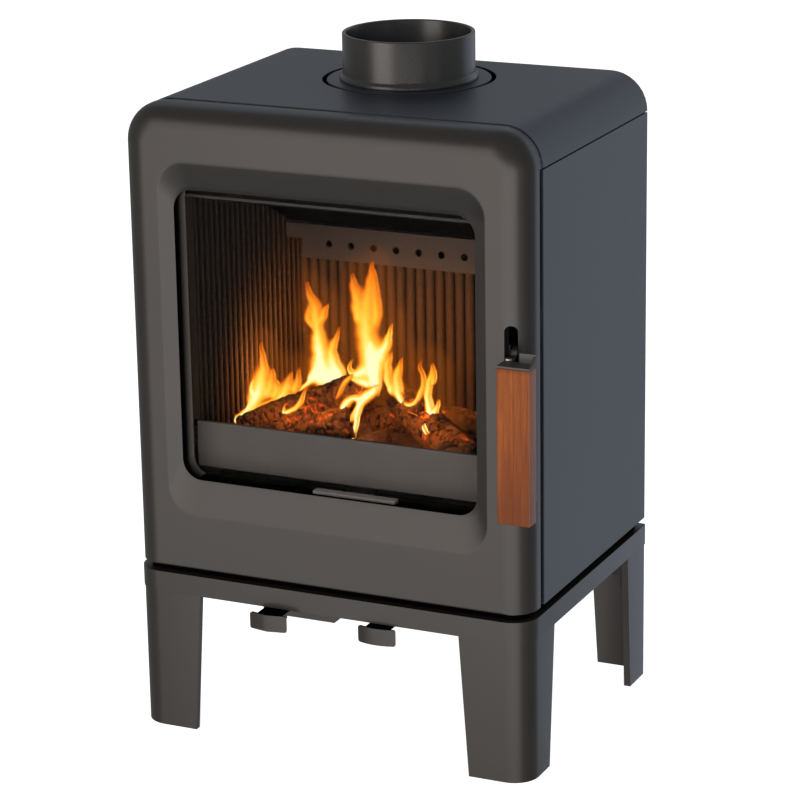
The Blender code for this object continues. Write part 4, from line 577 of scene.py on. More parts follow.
# Faces of the dish's top wall take the painted shade of slot 2, faces of the reveal the near black of slot 1.
for face in door.data.polygons:
    spot = to_stove(face.center)
    if 0.0005 < spot.y < DISH_DEPTH + 0.0005 and face.normal.y < -0.6 and WINDOW_TOP - 0.02 < spot.z < DISH_TOP:
        face.material_index = 2
    if spot.y > DISH_DEPTH + 0.0004 and abs(spot.x) < WINDOW_HALF + 0.001 and abs(
            spot.z - (WINDOW_LOW + WINDOW_TOP) / 2) < (WINDOW_TOP - WINDOW_LOW) / 2 + 0.001:
        face.material_index = 1
print("door", len(door.data.polygons), "faces after carving")

# %% [markdown]
# ## Dressing what the frame already shapes well
# Panels, legs and boxes are plain shapes in the frame, right in place and size. Their meshes are
# loose triangles, so a copy is welded, its flat faces are made whole, and its hard edges get the
# small rounding that a casting or a folded sheet has. That rounding is what catches the light.

# %% Dressing a node
def dress(node, material, slot, body="stove_body", soft=0.0005, segments=2, smooth=38):
    bm = bmesh.new()
    bm.from_mesh(nodes[node].data)
    bmesh.ops.remove_doubles(bm, verts=bm.verts, dist=0.00001)
    bmesh.ops.dissolve_limit(bm, angle_limit=math.radians(0.4), verts=bm.verts, edges=bm.edges)
    piece = finish_piece("fine_" + node, bm, material, body, slot, [node], smooth, drawn=False)
    return soften(piece, soft, segments) if soft else piece


CAST, SHEET, BLACK, BRICK = "painted_cast_iron", "painted_sheet", "black_steel", "firebox_lining"
IRON, BRIGHT, WOOD, GLASS, ROPE = "grate_iron", "bright_steel", "oiled_wood", "clear_glass", "rope_seal"
CHAR = "charred_wood"
for end in ("front", "rear"):
    for hand in ("left", "right"):
        dress(f"leg_{end}_{hand}", cast_paint, CAST, soft=0.0012, segments=3)
dress("base_frame", cast_paint, CAST, soft=0.0010, segments=3)
# The spacer and the base plate in the gap under the body, and the front plate behind the door, are painted near black
# as shade.
dress("plinth_spacer", soot_and_painted_shade, BLACK)
shade_dark_plate_paint = stove_paint("plate paint darkened as painted shade", (0.0040, 0.0037, 0.0034), 0.7, 0.00005, gloss=0.06)
for node in ("side_panel_left", "side_panel_right", "rear_panel"):
    dress(node, sheet_paint, SHEET, soft=0.0006)
dress("top_panel", sheet_paint, SHEET, soft=0.0007, segments=3)
for node in ("firebox_shell", "ash_pan", "hinge_bracket_lower", "hinge_bracket_upper"):
    dress(node, black_paint, BLACK, soft=0.0004)
for node in ("base_plate", "front_plate"):
    dress(node, shade_dark_plate_paint, BLACK, soft=0.0004)
for hand in ("left", "right"):
    dress(f"air_box_{hand}", cast_paint, CAST, soft=0.0008)
for hand, pointed in (("left", True), ("right", False)):
    piece = dress(f"air_slider_{hand}", cast_paint, CAST, f"air_{hand}", soft=0.0004)
    low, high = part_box(f"air_slider_{hand}")
    tab_back, tab_top = low.y + 0.0071, high.z
    bm = bmesh.new()
    bm.from_mesh(piece.data)
    tab = [vert for vert in bm.verts if vert.co.y < tab_back]
    middle = (min(vert.co.x for vert in tab) + max(vert.co.x for vert in tab)) / 2
    half = middle - min(vert.co.x for vert in tab)
    for vert in tab:
        share = abs(vert.co.x - middle) / half
        if pointed:
            vert.co.y += 0.0045 * (share - share ** 2)
    corners = [edge for edge in bm.edges if all(
        vert in tab and abs(abs(vert.co.x - middle) - half) < 0.001 for vert in edge.verts)
        and abs(edge.verts[0].co.z - edge.verts[1].co.z) < 0.001 and edge.calc_length() > 0.001]
    bmesh.ops.bevel(bm, geom=corners, offset=0.0028, offset_type="OFFSET", segments=4, profile=0.5,
                    affect="EDGES", material=-1)
    bm.to_mesh(piece.data)
    bm.free()
    # The tabs' top faces and the stems behind them are painted near black as shade.
    piece.data.materials.append(soot_and_painted_shade)
    for face in piece.data.polygons:
        face.material_index = 1 if face.normal.z > 0.7 or face.center.y > tab_back else 0
    piece.data.set_sharp_from_angle(angle=math.radians(38))
    print(piece.name, len(corners), "corners rounded")
# The glass frame's inner sides are painted light grey at their back edge, fading to near black towards the glass, and
# its other faces near black: painted light and shade.
frame_painted_light = painted_light_band("glass frame with painted light and shade", "Y", TO_FRAME.y + 0.041, 0.001, 0.016, (0.210, 0.196, 0.186))
piece = dress("glass_retainer", frame_painted_light, BLACK, "door", soft=0.0004)
piece.data.materials.append(soot_and_painted_shade)
for face in piece.data.polygons:
    face.material_index = 0 if abs(face.normal.x) > 0.3 else 1
dress("handle_lever", black_paint, BLACK, "handle", soft=0.0005)
bracket_paint = stove_paint("bracket paint", (0.046, 0.044, 0.043), 0.45, 0.00004)
dress("handle_bracket", bracket_paint, BLACK, "handle", soft=0.0004)
print("pieces so far", len(made))

# %% [markdown]
# ## Flue collar
# The smoke outlet is a cast ring that a 150 mm pipe slides into. It stands on a disc that covers
# the hole in the top panel, with a dark gap around it. Both are turned shapes, so a profile is
# spun once around, which gives a truly round rim and even highlights.

# %% Collar and disc
FLUE_Y, FLUE_R, FLUE_IN, FLUE_TOP, BODY_TOP, FLUE_LOW = 0.240, 0.075, 0.0705, 0.782, 0.729, 0.683


TILTS = {"Z": Matrix.Identity(4), "Y": Matrix.Rotation(math.radians(-90), 4, "X"),
         "X": Matrix.Rotation(math.radians(90), 4, "Y")}


def spun(profile, place, axis="Z", steps=96, close=True):
    """A round piece from a profile of (radius, height), spun about an axis through a place."""
    bm = bmesh.new()
    points = [bm.verts.new((radius, 0, height)) for radius, height in profile]
    edges = [bm.edges.new(pair) for pair in zip(points, points[1:])]
    if close:
        edges.append(bm.edges.new((points[-1], points[0])))
    bmesh.ops.spin(bm, geom=points + edges, cent=(0, 0, 0), axis=(0, 0, 1), angle=math.tau,
                   steps=steps, use_merge=True)
    bmesh.ops.remove_doubles(bm, verts=bm.verts, dist=0.000001)
    bmesh.ops.recalc_face_normals(bm, faces=bm.faces)
    bmesh.ops.transform(bm, matrix=Matrix.Translation(place) @ TILTS[axis], verts=bm.verts)
    return bm


def bar(radius, start, end, axis, segments=32, bm=None):
    """A round bar between two places on a line along an axis; also used as a drill."""
    bm = bm or bmesh.new()
    start, end = Vector(start), Vector(end)
    made_now = bmesh.ops.create_cone(bm, cap_ends=True, segments=segments, radius1=radius, radius2=radius,
                                     depth=(end - start).length)["verts"]
    bmesh.ops.transform(bm, matrix=Matrix.Translation((start + end) / 2) @ TILTS[axis], verts=made_now)
    return bm


def block(low, high, bm=None):
    """A plain block between two corners; also used as a cutter."""
    bm = bm or bmesh.new()
    low, high = Vector(low), Vector(high)
    made_now = bmesh.ops.create_cube(bm, size=1.0)["verts"]
    bmesh.ops.scale(bm, vec=high - low, verts=made_now)
    bmesh.ops.translate(bm, vec=(low + high) / 2, verts=made_now)
    return bm


collar_paint = stove_paint("collar paint", (0.018, 0.0163, 0.0150), 0.30, 0.00003, 0.000012, gloss=0.70)
seat = BODY_TOP + 0.0003
rim = 0.0013
collar = [(FLUE_R, FLUE_TOP - rim), (FLUE_R, seat + 0.0075), (FLUE_R + 0.0006, seat + 0.0058),
          (FLUE_R + 0.0020, seat + 0.0046), (FLUE_R + 0.0030, seat + 0.0032), (FLUE_R + 0.0035, seat + 0.0016),
          (FLUE_R + 0.0035, seat), (FLUE_R, seat), (FLUE_R, FLUE_LOW), (FLUE_IN, FLUE_LOW),
          (FLUE_IN, FLUE_TOP - rim), (FLUE_IN + rim * 0.3, FLUE_TOP - rim * 0.3), (FLUE_IN + rim, FLUE_TOP),
          (FLUE_R - rim, FLUE_TOP), (FLUE_R - rim * 0.3, FLUE_TOP - rim * 0.3)]
finish_piece("collar", spun(collar, (0, FLUE_Y, 0)), collar_paint, "stove_body", CAST, ["flue_collar"], 45)
disc_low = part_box("flue_disc")[0]
disc_r = (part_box("flue_disc")[1].x - disc_low.x) / 2
disc_r -= 0.0022
disc = [(disc_r - 0.0008, BODY_TOP), (disc_r, BODY_TOP - 0.0008), (disc_r, BODY_TOP - 0.004),
        (0.080, BODY_TOP - 0.004), (0.080, disc_low.z), (0.076, disc_low.z), (0.076, BODY_TOP)]
finish_piece("collar_disc", spun(disc, (0, FLUE_Y, 0)), sheet_paint, "stove_body", SHEET, ["flue_disc"], 40)
print("collar", round(FLUE_R * 2000), "mm across; disc", round(disc_r * 2000), "mm")

# %% [markdown]
# ## Screws and bolts
# The small fasteners are turned heads with a pressed or milled drive. A six-sided recess is cut
# in each head: a plain dome would read as a rivet.

# %% Fasteners
steel = Recipe("bright steel", (0.5, 0.5, 0.5))
where = steel.coordinates((1, 1, 1))
steel.set(Base_Color=steel.ramp(steel.noise(where, 300, 3), [(0.3, (0.32, 0.32, 0.33)), (0.7, (0.50, 0.50, 0.51))]),
          Roughness=steel.span(steel.noise(where, 700, 2), 0.3, 0.7, 0.28, 0.42), Metallic=1.0)
steel = steel.material


def screw(name, node, body, axis, head_r, head_h, shank_r, length):
    low, high = (to_stove(corner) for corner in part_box(node))
    middle = (low + high) / 2
    index = "XYZ".index(axis)
    place = middle.copy()
    place[index] = high[index] - head_h
    crown = min(0.0009, head_h * 0.4)
    profile = [(0.0, head_h), (head_r - crown, head_h), (head_r - crown * 0.3, head_h - crown * 0.3),
               (head_r, head_h - crown), (head_r, 0), (shank_r, 0), (shank_r, -length), (0.0, -length)]
    bm = spun(profile, place, axis, 24, close=False)
    mesh = bpy.data.meshes.new(name)
    bm.to_mesh(mesh)
    bm.free()
    floor_of_drive, top_of_drive = place.copy(), place.copy()
    floor_of_drive[index] += head_h * 0.5
    top_of_drive[index] += head_h * 1.5
    drive = bar(head_r * 0.5, floor_of_drive, top_of_drive, axis, 6)
    return finish_piece(name, carve(mesh, drive), steel, body, BRIGHT, [node], 35)


for node in ("left_low", "left_high", "right_low", "right_high"):
    screw(f"frame_screw_{node}", f"retainer_screw_{node}", "door", "Y", 0.0038, 0.0025, 0.0020, 0.0085)
screw("grip_bolt_low", "grip_screw_low", "handle", "Y", 0.0038, 0.0022, 0.0018, 0.0110)
screw("grip_bolt_high", "grip_screw_high", "handle", "Y", 0.0038, 0.0022, 0.0018, 0.0110)
screw("cap_bolt", "handle_screw_top", "handle", "Z", 0.0038, 0.0022, 0.0018, 0.0080)
for node in [n for n in nodes if n.startswith("leg_bolt")] + ["hinge_pin_lower", "hinge_pin_upper", "latch_keeper"]:
    dress(node, steel, BRIGHT, soft=0.0003)
dress("handle_pivot", steel, BRIGHT, "door", soft=0.0003)
print("fasteners done, pieces", len(made))

# %% [markdown]
# ## Bosses behind the door
# The casting grows small bosses inside, where the hinge pins, the handle's pivot and the screws
# of the glass frame go. They show only when the door is open, but then they carry everything.

# %% Bosses and lugs
EAR_X, EAR_ZS = 0.2035, (0.360, 0.570)
PIVOT_Y, PIVOT_Z = 0.019, 0.489
for label, z in zip(("lower", "upper"), HINGE_ZS):
    boss = bar(0.0065, (HINGE_X, HINGE_Y, z + 0.0142), (HINGE_X, HINGE_Y, z + 0.032), "Z")
    finish_piece(f"hinge_boss_{label}", boss, cast_paint, "door", CAST)
bm = bmesh.new()
for x in (-EAR_X, EAR_X):
    for z in EAR_ZS:
        bar(0.0055, (x, PLATE - 0.002, z), (x, 0.0200, z), "Y", bm=bm)
finish_piece("frame_bosses", bm, cast_paint, "door", CAST)
bm = bmesh.new()
for left, right_x in ((0.2127, 0.2182), (0.2304, 0.2344)):
    block((left, PLATE - 0.001, PIVOT_Z - 0.010), (right_x, 0.029, PIVOT_Z + 0.010), bm)
soften(finish_piece("pivot_lugs", bm, cast_paint, "door", CAST), 0.0006)
print("bosses", len(made))

# %% [markdown]
# ## Inside the firebox: lining
# The box is lined with moulded firebrick panels with upright ribs. They are the most visible
# thing behind the glass, and a bump map would give them away at the edges, so each rib is real:
# one plan with a row of rounded ribs, extruded upwards. They turn darker towards the top, and the
# valleys between the ribs are painted near black as shade.

# %% Lining material
brick = Recipe("firebrick with painted valley shade", (0.2, 0.16, 0.12))
where = brick.coordinates()
height = brick.node("SeparateXYZ")
brick.link(where, height.inputs[0])
# The panels turn darker towards the top.
darker_up = brick.span(brick.math("ADD", height.outputs["Z"], brick.math("MULTIPLY", brick.noise(where, 14, 4), 0.12)),
                  0.40, 0.66, 0.0, 1.0)
grain = brick.noise(where, 260, 4, 0.6)
clean = brick.ramp(grain, [(0.3, (0.027, 0.0153, 0.0062)), (0.7, (0.046, 0.026, 0.0106))])
dark = brick.ramp(grain, [(0.3, (0.019, 0.0155, 0.0128)), (0.7, (0.033, 0.027, 0.0225))])
# The valleys between the ribs are painted near black as shade.
layer = brick.node("Attribute", attribute_name="painted_valley_shade")
height_tone = brick.blend(darker_up, clean, dark)
brick.set(Base_Color=brick.blend(brick.span(layer.outputs["Fac"], 0.05, 0.9, 0.0, 0.93), height_tone, (0.002, 0.0016, 0.0013)),
          Roughness=0.9, Specular_IOR_Level=0.06)
brick.bump(brick.noise(where, 420, 4, 0.6), 0.06, 0.0003)
brick = brick.material

# %% Fluted panels
LINING_LOW, LINING_TOP, LINING_HALF, LINING_BACK = 0.2963, 0.660, 0.187, 0.328
RIB_PITCH, RIB_DEPTH, RIBS_FROM, RIB_STEPS = 0.0127, 0.0042, 0.064, 10
LINING_OUT, LINING_FRONT, LINING_END = 0.2075, 0.0468, 0.3435


def rib_line(start, end):
    """Places along a row of ribs, each with its height over the valley."""
    count = round(abs(end - start) / RIB_PITCH)
    pitch = (end - start) / count
    line = []
    for rib in range(count):
        for step in range(RIB_STEPS):
            turn = step / RIB_STEPS
            line.append((start + pitch * (rib + turn), RIB_DEPTH * math.sin(math.pi * turn) ** 0.7))
    return line + [(end, 0.0)]


def extruded(outline, start, end, axis):
    """A closed solid: an outline in the two other axes, extruded along one axis."""
    bm = bmesh.new()
    spots = {"X": lambda a, b: (start, a, b), "Y": lambda a, b: (a, start, b), "Z": lambda a, b: (a, b, start)}
    face = bm.faces.new([bm.verts.new(spots[axis](a, b)) for a, b in outline])
    grown = bmesh.ops.extrude_face_region(bm, geom=[face])["geom"]
    reach = Vector([(end - start) * (axis == other) for other in "XYZ"])
    bmesh.ops.translate(bm, vec=reach, verts=[g for g in grown if isinstance(g, bmesh.types.BMVert)])
    bmesh.ops.recalc_face_normals(bm, faces=bm.faces)
    return bm


def mark_valley_shade(mesh, depth_at):
    """Keeps how deep each point lies between the ribs, for the painted shade that darkens the valleys."""
    layer = mesh.attributes.new("painted_valley_shade", "FLOAT", "POINT")
    for vert in mesh.vertices:
        layer.data[vert.index].value = max(0.0, min(1.0, depth_at(vert.co) / RIB_DEPTH))


for label, side_of in (("left", -1), ("right", 1)):
    plan = [(side_of * LINING_OUT, LINING_FRONT), (side_of * LINING_HALF, LINING_FRONT),
            (side_of * LINING_HALF, RIBS_FROM)]
    plan += [(side_of * (LINING_HALF + RIB_DEPTH - height), y) for y, height in rib_line(RIBS_FROM, LINING_BACK)]
    plan += [(side_of * (LINING_HALF + RIB_DEPTH), LINING_END), (side_of * LINING_OUT, LINING_END)]
    mesh = bpy.data.meshes.new("lining")
    bm = extruded(plan, LINING_LOW, LINING_TOP, "Z")
    bm.to_mesh(mesh)
    bm.free()
    reach = side_of * 0.1960
    mesh = carve(mesh, bar(0.0053, (side_of * 0.180, 0.150, 0.60056), (reach, 0.150, 0.60056), "X", 24))
    mark_valley_shade(mesh, lambda spot: 3.6 * (abs(spot.x) - LINING_HALF) if RIBS_FROM < spot.y < LINING_BACK else 0.0)
    finish_piece(f"fluted_lining_{label}", mesh, brick, "stove_body", BRICK, [f"lining_{label}"], 40)
half = LINING_HALF + RIB_DEPTH - 0.0003
plan = [(-half, LINING_END), (half, LINING_END)]
plan += [(x, LINING_BACK + RIB_DEPTH - height) for x, height in rib_line(half, -half)]
mesh = bpy.data.meshes.new("lining")
bm = extruded(plan, LINING_LOW, LINING_TOP, "Z")
bm.to_mesh(mesh)
bm.free()
mark_valley_shade(mesh, lambda spot: spot.y - LINING_BACK)
finish_piece("fluted_lining_rear", mesh, brick, "stove_body", BRICK, ["lining_rear"], 40)
print("ribs at the back", round(2 * half / RIB_PITCH))

# %% [markdown]
# ## Plates inside the firebox
# A hearth with a small sliding grate, a bar along the back that blows warm air over the fire
# through ten holes, a sloping baffle, an air-wash deflector above the glass and a guard that
# keeps the logs off it. Heat turns their paint a dull brown grey. The hearth and the baffle are
# painted black, partly sooty and partly painted shade; the guard's ends and foot are painted
# shade, and the deflector's front edge and the grate lever carry painted highlights.

# %% Fittings
heat_grey = stove_paint("heat-dulled iron", (0.031, 0.0262, 0.0225), 0.6, 0.00006, gloss=0.15)
guard_grey = stove_paint("log guard iron", (0.066, 0.0615, 0.058), 0.55, 0.00004, gloss=0.12)
# The air-wash deflector carries a painted highlight, a thin light line at the height of its front edge, and is painted
# near black elsewhere as shade.
lip_painted_highlight = painted_light_band("air-wash lip with painted highlight line", "Z", 0.6206, 0.0006, 0.0010, (0.130, 0.123, 0.118))
# The grate lever is painted light on its front end as a highlight, and near black further back as shade.
lever_painted_highlight = painted_light_band("grate lever with painted highlight", "Y", TO_FRAME.y + 0.0270, 0.0058, 0.0066, (0.30, 0.29, 0.28))
scorched = stove_paint("scorched steel", (0.010, 0.009, 0.008), 0.6, 0.00008)
# The hearth, the baffle and its rod are painted black, partly sooty and partly painted shade.
for node, material, slot, body, soft in (
        ("hearth_plate", soot_and_painted_shade, BRICK, "stove_body", 0.0008), ("baffle_plate", soot_and_painted_shade, BRICK, "stove_body", 0.001),
        ("baffle_rod", soot_and_painted_shade, IRON, "stove_body", 0.0), ("airwash_deflector", lip_painted_highlight, BLACK, "stove_body", 0.0004),
        ("log_guard", guard_grey, IRON, "stove_body", 0.0008), ("grate", scorched, IRON, "grate", 0.0006),
        ("grate_lever", lever_painted_highlight, IRON, "grate", 0.0006)):
    dress(node, material, slot, body, soft)
# The guard's ends and its foot are painted near black as shade, and a thin black strip under it is a sheet of painted
# shade in the gap.
guard = bpy.data.objects["fine_log_guard"]
bm = bmesh.new()
bm.from_mesh(guard.data)
for point, across in (((-0.1820, 0, 0), (1, 0, 0)), ((0.1820, 0, 0), (1, 0, 0)), ((0, 0, 0.3046), (0, 0, 1))):
    bmesh.ops.bisect_plane(bm, geom=bm.verts[:] + bm.edges[:] + bm.faces[:], dist=0.00001,
                           plane_co=Vector(point) + TO_FRAME, plane_no=across)
strip = block((-0.1522, 0.0528, 0.2966), (0.1522, 0.0546, 0.3036))
bmesh.ops.translate(strip, vec=TO_FRAME, verts=strip.verts)
strip_mesh = bpy.data.meshes.new("strip")
strip.to_mesh(strip_mesh)
strip.free()
bm.from_mesh(strip_mesh)
bm.to_mesh(guard.data)
bm.free()
guard.data.materials.append(soot_and_painted_shade)
for face in guard.data.polygons:
    spot = to_stove(face.center)
    face.material_index = 1 if abs(spot.x) > 0.1820 or spot.z < 0.3046 else 0
print("guard", len(guard.data.polygons), "faces")
turn_x, turn_z = BODY_HALF - DOOR_CORNER, DOOR_TOP - DOOR_CORNER
angles = [math.radians(90 - 5 * step) for step in range(19)]
seam = [(-0.196, DOOR_TOP - 0.0012)]
seam += [(turn_x + (DOOR_CORNER - 0.0012) * math.cos(a), turn_z + (DOOR_CORNER - 0.0012) * math.sin(a)) for a in angles]
seam += [(turn_x + (DOOR_CORNER - 0.0024) * math.cos(a), turn_z + (DOOR_CORNER - 0.0024) * math.sin(a))
         for a in reversed(angles)]
seam += [(-0.196, DOOR_TOP - 0.0024)]
# A dark sill fills the gap under the door: a sheet of painted shade.
sill = block((-0.2285, 0.0138, 0.1894), (0.2285, 0.0370, 0.1903))
sill = block((-0.2110, 0.0370, 0.1894), (0.2110, 0.0405, 0.1965), sill)
finish_piece("body_sill", sill, shade_dark_plate_paint, "stove_body", BLACK, (), 40)
finish_piece("top_seam_strip", extruded(seam, 0.0377, 0.0460, "Y"), sheet_paint, "stove_body", SHEET, (), 40)
BAR_FRONT, BAR_BACK, BAR_LOW, BAR_TOP, BAR_T = 0.290, 0.3277, 0.492, 0.533, 0.003
HOLE_R, HOLE_PITCH, HOLE_Z, HOLES = 0.0043, 0.0291, 0.511, 10
half = 0.1867
section = [(BAR_FRONT, BAR_LOW), (BAR_BACK, BAR_LOW), (BAR_BACK, BAR_LOW + BAR_T), (BAR_FRONT + BAR_T, BAR_LOW + BAR_T),
           (BAR_FRONT + BAR_T, BAR_TOP - BAR_T), (BAR_BACK, BAR_TOP - BAR_T), (BAR_BACK, BAR_TOP),
           (BAR_FRONT, BAR_TOP)]
mesh = bpy.data.meshes.new("air bar")
bm = extruded(section, -half, half, "X")
bm.to_mesh(mesh)
bm.free()
drills = bmesh.new()
for index in range(HOLES):
    x = (index - (HOLES - 1) / 2) * HOLE_PITCH
    bar(HOLE_R, (x, BAR_FRONT - 0.002, HOLE_Z), (x, BAR_FRONT + BAR_T + 0.001, HOLE_Z), "Y", 24, drills)
for side_of in (-1, 1):
    inner, outer = sorted((side_of * (half - 0.021), side_of * (half + 0.001)))
    block((inner, BAR_FRONT - 0.002, BAR_LOW - 0.002), (outer, BAR_BACK + 0.002, 0.515), drills)
plugs = bmesh.new()
for index in range(HOLES):
    x = (index - (HOLES - 1) / 2) * HOLE_PITCH
    bar(HOLE_R + 0.001, (x, BAR_FRONT + BAR_T + 0.0004, HOLE_Z), (x, BAR_FRONT + BAR_T + 0.0014, HOLE_Z), "Y", 24, plugs)
finish_piece("bar_hole_shade", plugs, soot_and_painted_shade, "stove_body", BLACK, (), 35)
soften(finish_piece("air_wash_bar", carve(mesh, drills), heat_grey, "stove_body", BLACK, ["air_bar"], 35), 0.0004)
print("fittings done, pieces", len(made))

# %% [markdown]
# ## Glass and seals
# Ceramic glass is a clear sheet. It is given only a mirror's reflection, and Fresnel sets how much
# of it shows: a few parts in a hundred straight on, more at a slant. The rest is clear, and so the
# fire behind it lights the room without the noise that real refraction would bring.

# %% Glass, rope and tape
glass = Recipe("ceramic glass", (0.8, 0.85, 0.85))
fresnel = glass.node("Fresnel")
fresnel.inputs["IOR"].default_value = 1.06
glass.set(Base_Color=(0.90, 0.92, 0.93), Metallic=1.0, Roughness=0.03, Alpha=fresnel.outputs[0])
nodes["door_glass"].data.materials.clear()
nodes["door_glass"].data.materials.append(glass.material)

rope = Recipe("glass fibre rope", (0.3, 0.29, 0.27))
where = rope.coordinates()
weave = rope.node("TexVoronoi", feature="F1")
weave.inputs["Scale"].default_value = 620
rope.link(where, weave.inputs["Vector"])
rope.set(Base_Color=rope.ramp(weave.outputs["Distance"], [(0.0, (0.20, 0.19, 0.175)), (0.8, (0.075, 0.07, 0.065))]),
         Roughness=0.95, Specular_IOR_Level=0.2)
rope.bump(weave.outputs["Distance"], 0.9, -0.0006)
rope = rope.material
low, high = (to_stove(corner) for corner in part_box("door_rope_seal"))
rope_r = (high.y - low.y) / 2
rope_y = (high.y + low.y) / 2
corner_r = WINDOW_CORNER + high.x - WINDOW_HALF - 0.003 - rope_r
sizes = []
for step in range(20):
    turn = math.tau * step / 20
    out, y = rope_r * math.cos(turn), rope_y + rope_r * math.sin(turn)
    sizes.append((high.x - rope_r + out, low.z + rope_r - out, high.z - rope_r + out, corner_r + out,
                  corner_r + out, y))
finish_piece("rope_seal", stack(sizes), rope, "door", ROPE, ["door_rope_seal"], 60)
dress("glass_seal", soot_and_painted_shade, ROPE, "door", 0.0)
print("rope", round(rope_r * 2000, 1), "mm thick")

# %% [markdown]
# ## The wooden grip
# The grip is a block of oiled hardwood in two halves, screwed to a steel plate behind it. The
# fibres run upright, so the grain is noise stretched ten times along the height, and a fine groove
# marks the joint between the halves.

# %% Grip
wood = Recipe("oiled hardwood", (0.35, 0.17, 0.08))
where = wood.coordinates((1, 1, 0.045))
bands = wood.noise(where, 210, 5, 0.6, 0.6)
fine = wood.noise(wood.coordinates((1, 1, 0.02)), 1500, 3, 0.6)
pores = wood.noise(wood.coordinates((1, 1, 0.05)), 2600, 2, 0.5)
tone = wood.ramp(bands, [(0.25, (0.160, 0.040, 0.009)), (0.5, (0.275, 0.074, 0.016)), (0.75, (0.380, 0.118, 0.028))])
tone = wood.blend(wood.span(fine, 0.35, 0.7, 0.45, 0.0), tone, (0.120, 0.034, 0.011))
tone = wood.blend(wood.span(pores, 0.62, 0.72, 0.0, 0.6), tone, (0.070, 0.020, 0.008))
level = wood.node("SeparateXYZ")
wood.link(wood.coordinates(), level.inputs[0])
# The grip turns darker towards its foot, and its top few millimetres under the bracket's cap are darkened as painted
# shade.
darker = wood.math("MAXIMUM", wood.span(level.outputs["Z"], 0.42, 0.33, 0.0, 0.62), wood.span(level.outputs["Z"], 0.479, 0.485, 0.0, 0.7))
tone = wood.blend(darker, tone, (0.105, 0.030, 0.014))
wood.set(Base_Color=tone, Roughness=wood.span(fine, 0.3, 0.7, 0.44, 0.56), Specular_IOR_Level=0.13)
wood.bump(fine, 0.35, 0.0002)
wood = wood.material
# A copy with strong gloss on the grip's right-hand faces gives them a painted sheen.
side_sheen_wood = wood.copy()
side_sheen_wood.name = "hardwood with painted side sheen"
side_sheen_wood.node_tree.nodes["Principled BSDF"].inputs["Specular IOR Level"].default_value = 0.75
low, high = (to_stove(corner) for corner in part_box("handle_grip"))
middle_x = (low.x + high.x) / 2
for label, left, right_x in (("left", low.x, middle_x - 0.00008), ("right", middle_x + 0.00008, high.x)):
    bm = block((left, low.y, low.z), (right_x, high.y, high.z))
    seam = [edge for edge in bm.edges if all(abs(vert.co.x - middle_x) < 0.001 for vert in edge.verts)]
    outer = [edge for edge in bm.edges if edge not in seam]
    bmesh.ops.bevel(bm, geom=outer, offset=0.0012, offset_type="OFFSET", segments=4, profile=0.5,
                    affect="EDGES", material=-1)
    piece = finish_piece(f"grip_{label}", bm, wood, "handle", WOOD, ["handle_grip"] if label == "left" else (), 40)
    piece.data.materials.append(side_sheen_wood)
    for face in piece.data.polygons:
        face.material_index = 1 if face.normal.x > 0.5 else 0
print("grip", [round((b - a) * 1000) for a, b in zip(low, high)], "mm")

# %% [markdown]
# ## Logs
# A burning log is a rough cylinder whose bark has turned to charcoal and cracked into blocks, with
# fire showing in the cracks. A sphere's rings are moved onto the log's axis, so both ends close,
# and each point is then pushed in where a crack runs. The depth of the crack is kept on the mesh as
# an attribute, so that the glow sits exactly in the cracks.

# %% Shapes along a line
def sleeve(places, around):
    """A closed skin over a row of places, made from a ball; place(angle) gives each ring's points."""
    bm = bmesh.new()
    count = len(places) + 1
    bmesh.ops.create_uvsphere(bm, u_segments=around, v_segments=count, radius=1.0)
    heat = bm.verts.layers.float_color.new("along")
    for vert in bm.verts:
        ring_index = round(math.acos(max(-1, min(1, vert.co.z))) / math.pi * count)
        angle = math.atan2(vert.co.y, vert.co.x)
        place = places[min(max(ring_index, 1), count - 1) - 1]
        if ring_index in (0, count):
            vert.co = (place(0) + place(math.pi)) / 2
        else:
            vert.co = place(angle)
        vert[heat] = (ring_index / count, 0.5 + 0.5 * math.cos(angle), 0, 1)
    return bm


def log_skin(start, end, radius, seed, taper=0.94, flat=0.0):
    start, end = Vector(start), Vector(end)
    axis = (end - start).normalized()
    across = axis.cross(Vector((0, 0, 1))).normalized()
    lift = across.cross(axis)
    length = (end - start).length
    shift = Vector((seed * 3.7, seed * 1.3, seed * 2.1))
    shares = [(-0.004, 0.35), (-0.002, 0.7), (0.0, 0.93), (0.008, 1.0)]
    rows = 110
    shares += [(0.008 + 0.984 * step / rows, 1.0) for step in range(1, rows)]
    shares += [(0.992, 1.0), (1.0, 0.93), (1.002, 0.7), (1.004, 0.35)]
    places = []
    for share, size in shares:
        def place(angle, share=share, size=size):
            out = across * math.cos(angle) + lift * math.sin(angle)
            lump = noise.noise(out * 1.3 + axis * share * 3.0 + shift)
            r = radius * (1 + (taper - 1) * share) * size * (0.90 + 0.13 * lump)
            if flat and math.sin(angle) > 0.2:
                r *= 1 - flat * (math.sin(angle) - 0.2)
            return start + axis * (share * length) + out * r
        places.append(place)
    bm = sleeve(places, 96)
    crack = bm.verts.layers.float_color.new("crack")
    bm.normal_update()
    push = {}
    for vert in bm.verts:
        local = vert.co - start
        along = local.dot(axis)
        spot = Vector((local.dot(across), along * 1.9, local.dot(lift))) / 0.0140
        spot += 0.35 * Vector(noise.noise_vector(spot * 1.7 + shift)) + shift * 10
        cells = noise.voronoi(spot)[0]
        groove = 1 - min((cells[1] - cells[0]) / 0.24, 1)
        rough = noise.fractal(vert.co / 0.006 + shift, 0.9, 2.2, 4)
        push[vert.index] = -0.0024 * groove ** 1.5 + 0.0011 * rough
        vert[crack] = (groove, 0, 0, 1)
    bm.verts.ensure_lookup_table()
    for index, depth in push.items():
        vert = bm.verts[index]
        vert.co += vert.normal * depth
    bmesh.ops.recalc_face_normals(bm, faces=bm.faces)
    return bm


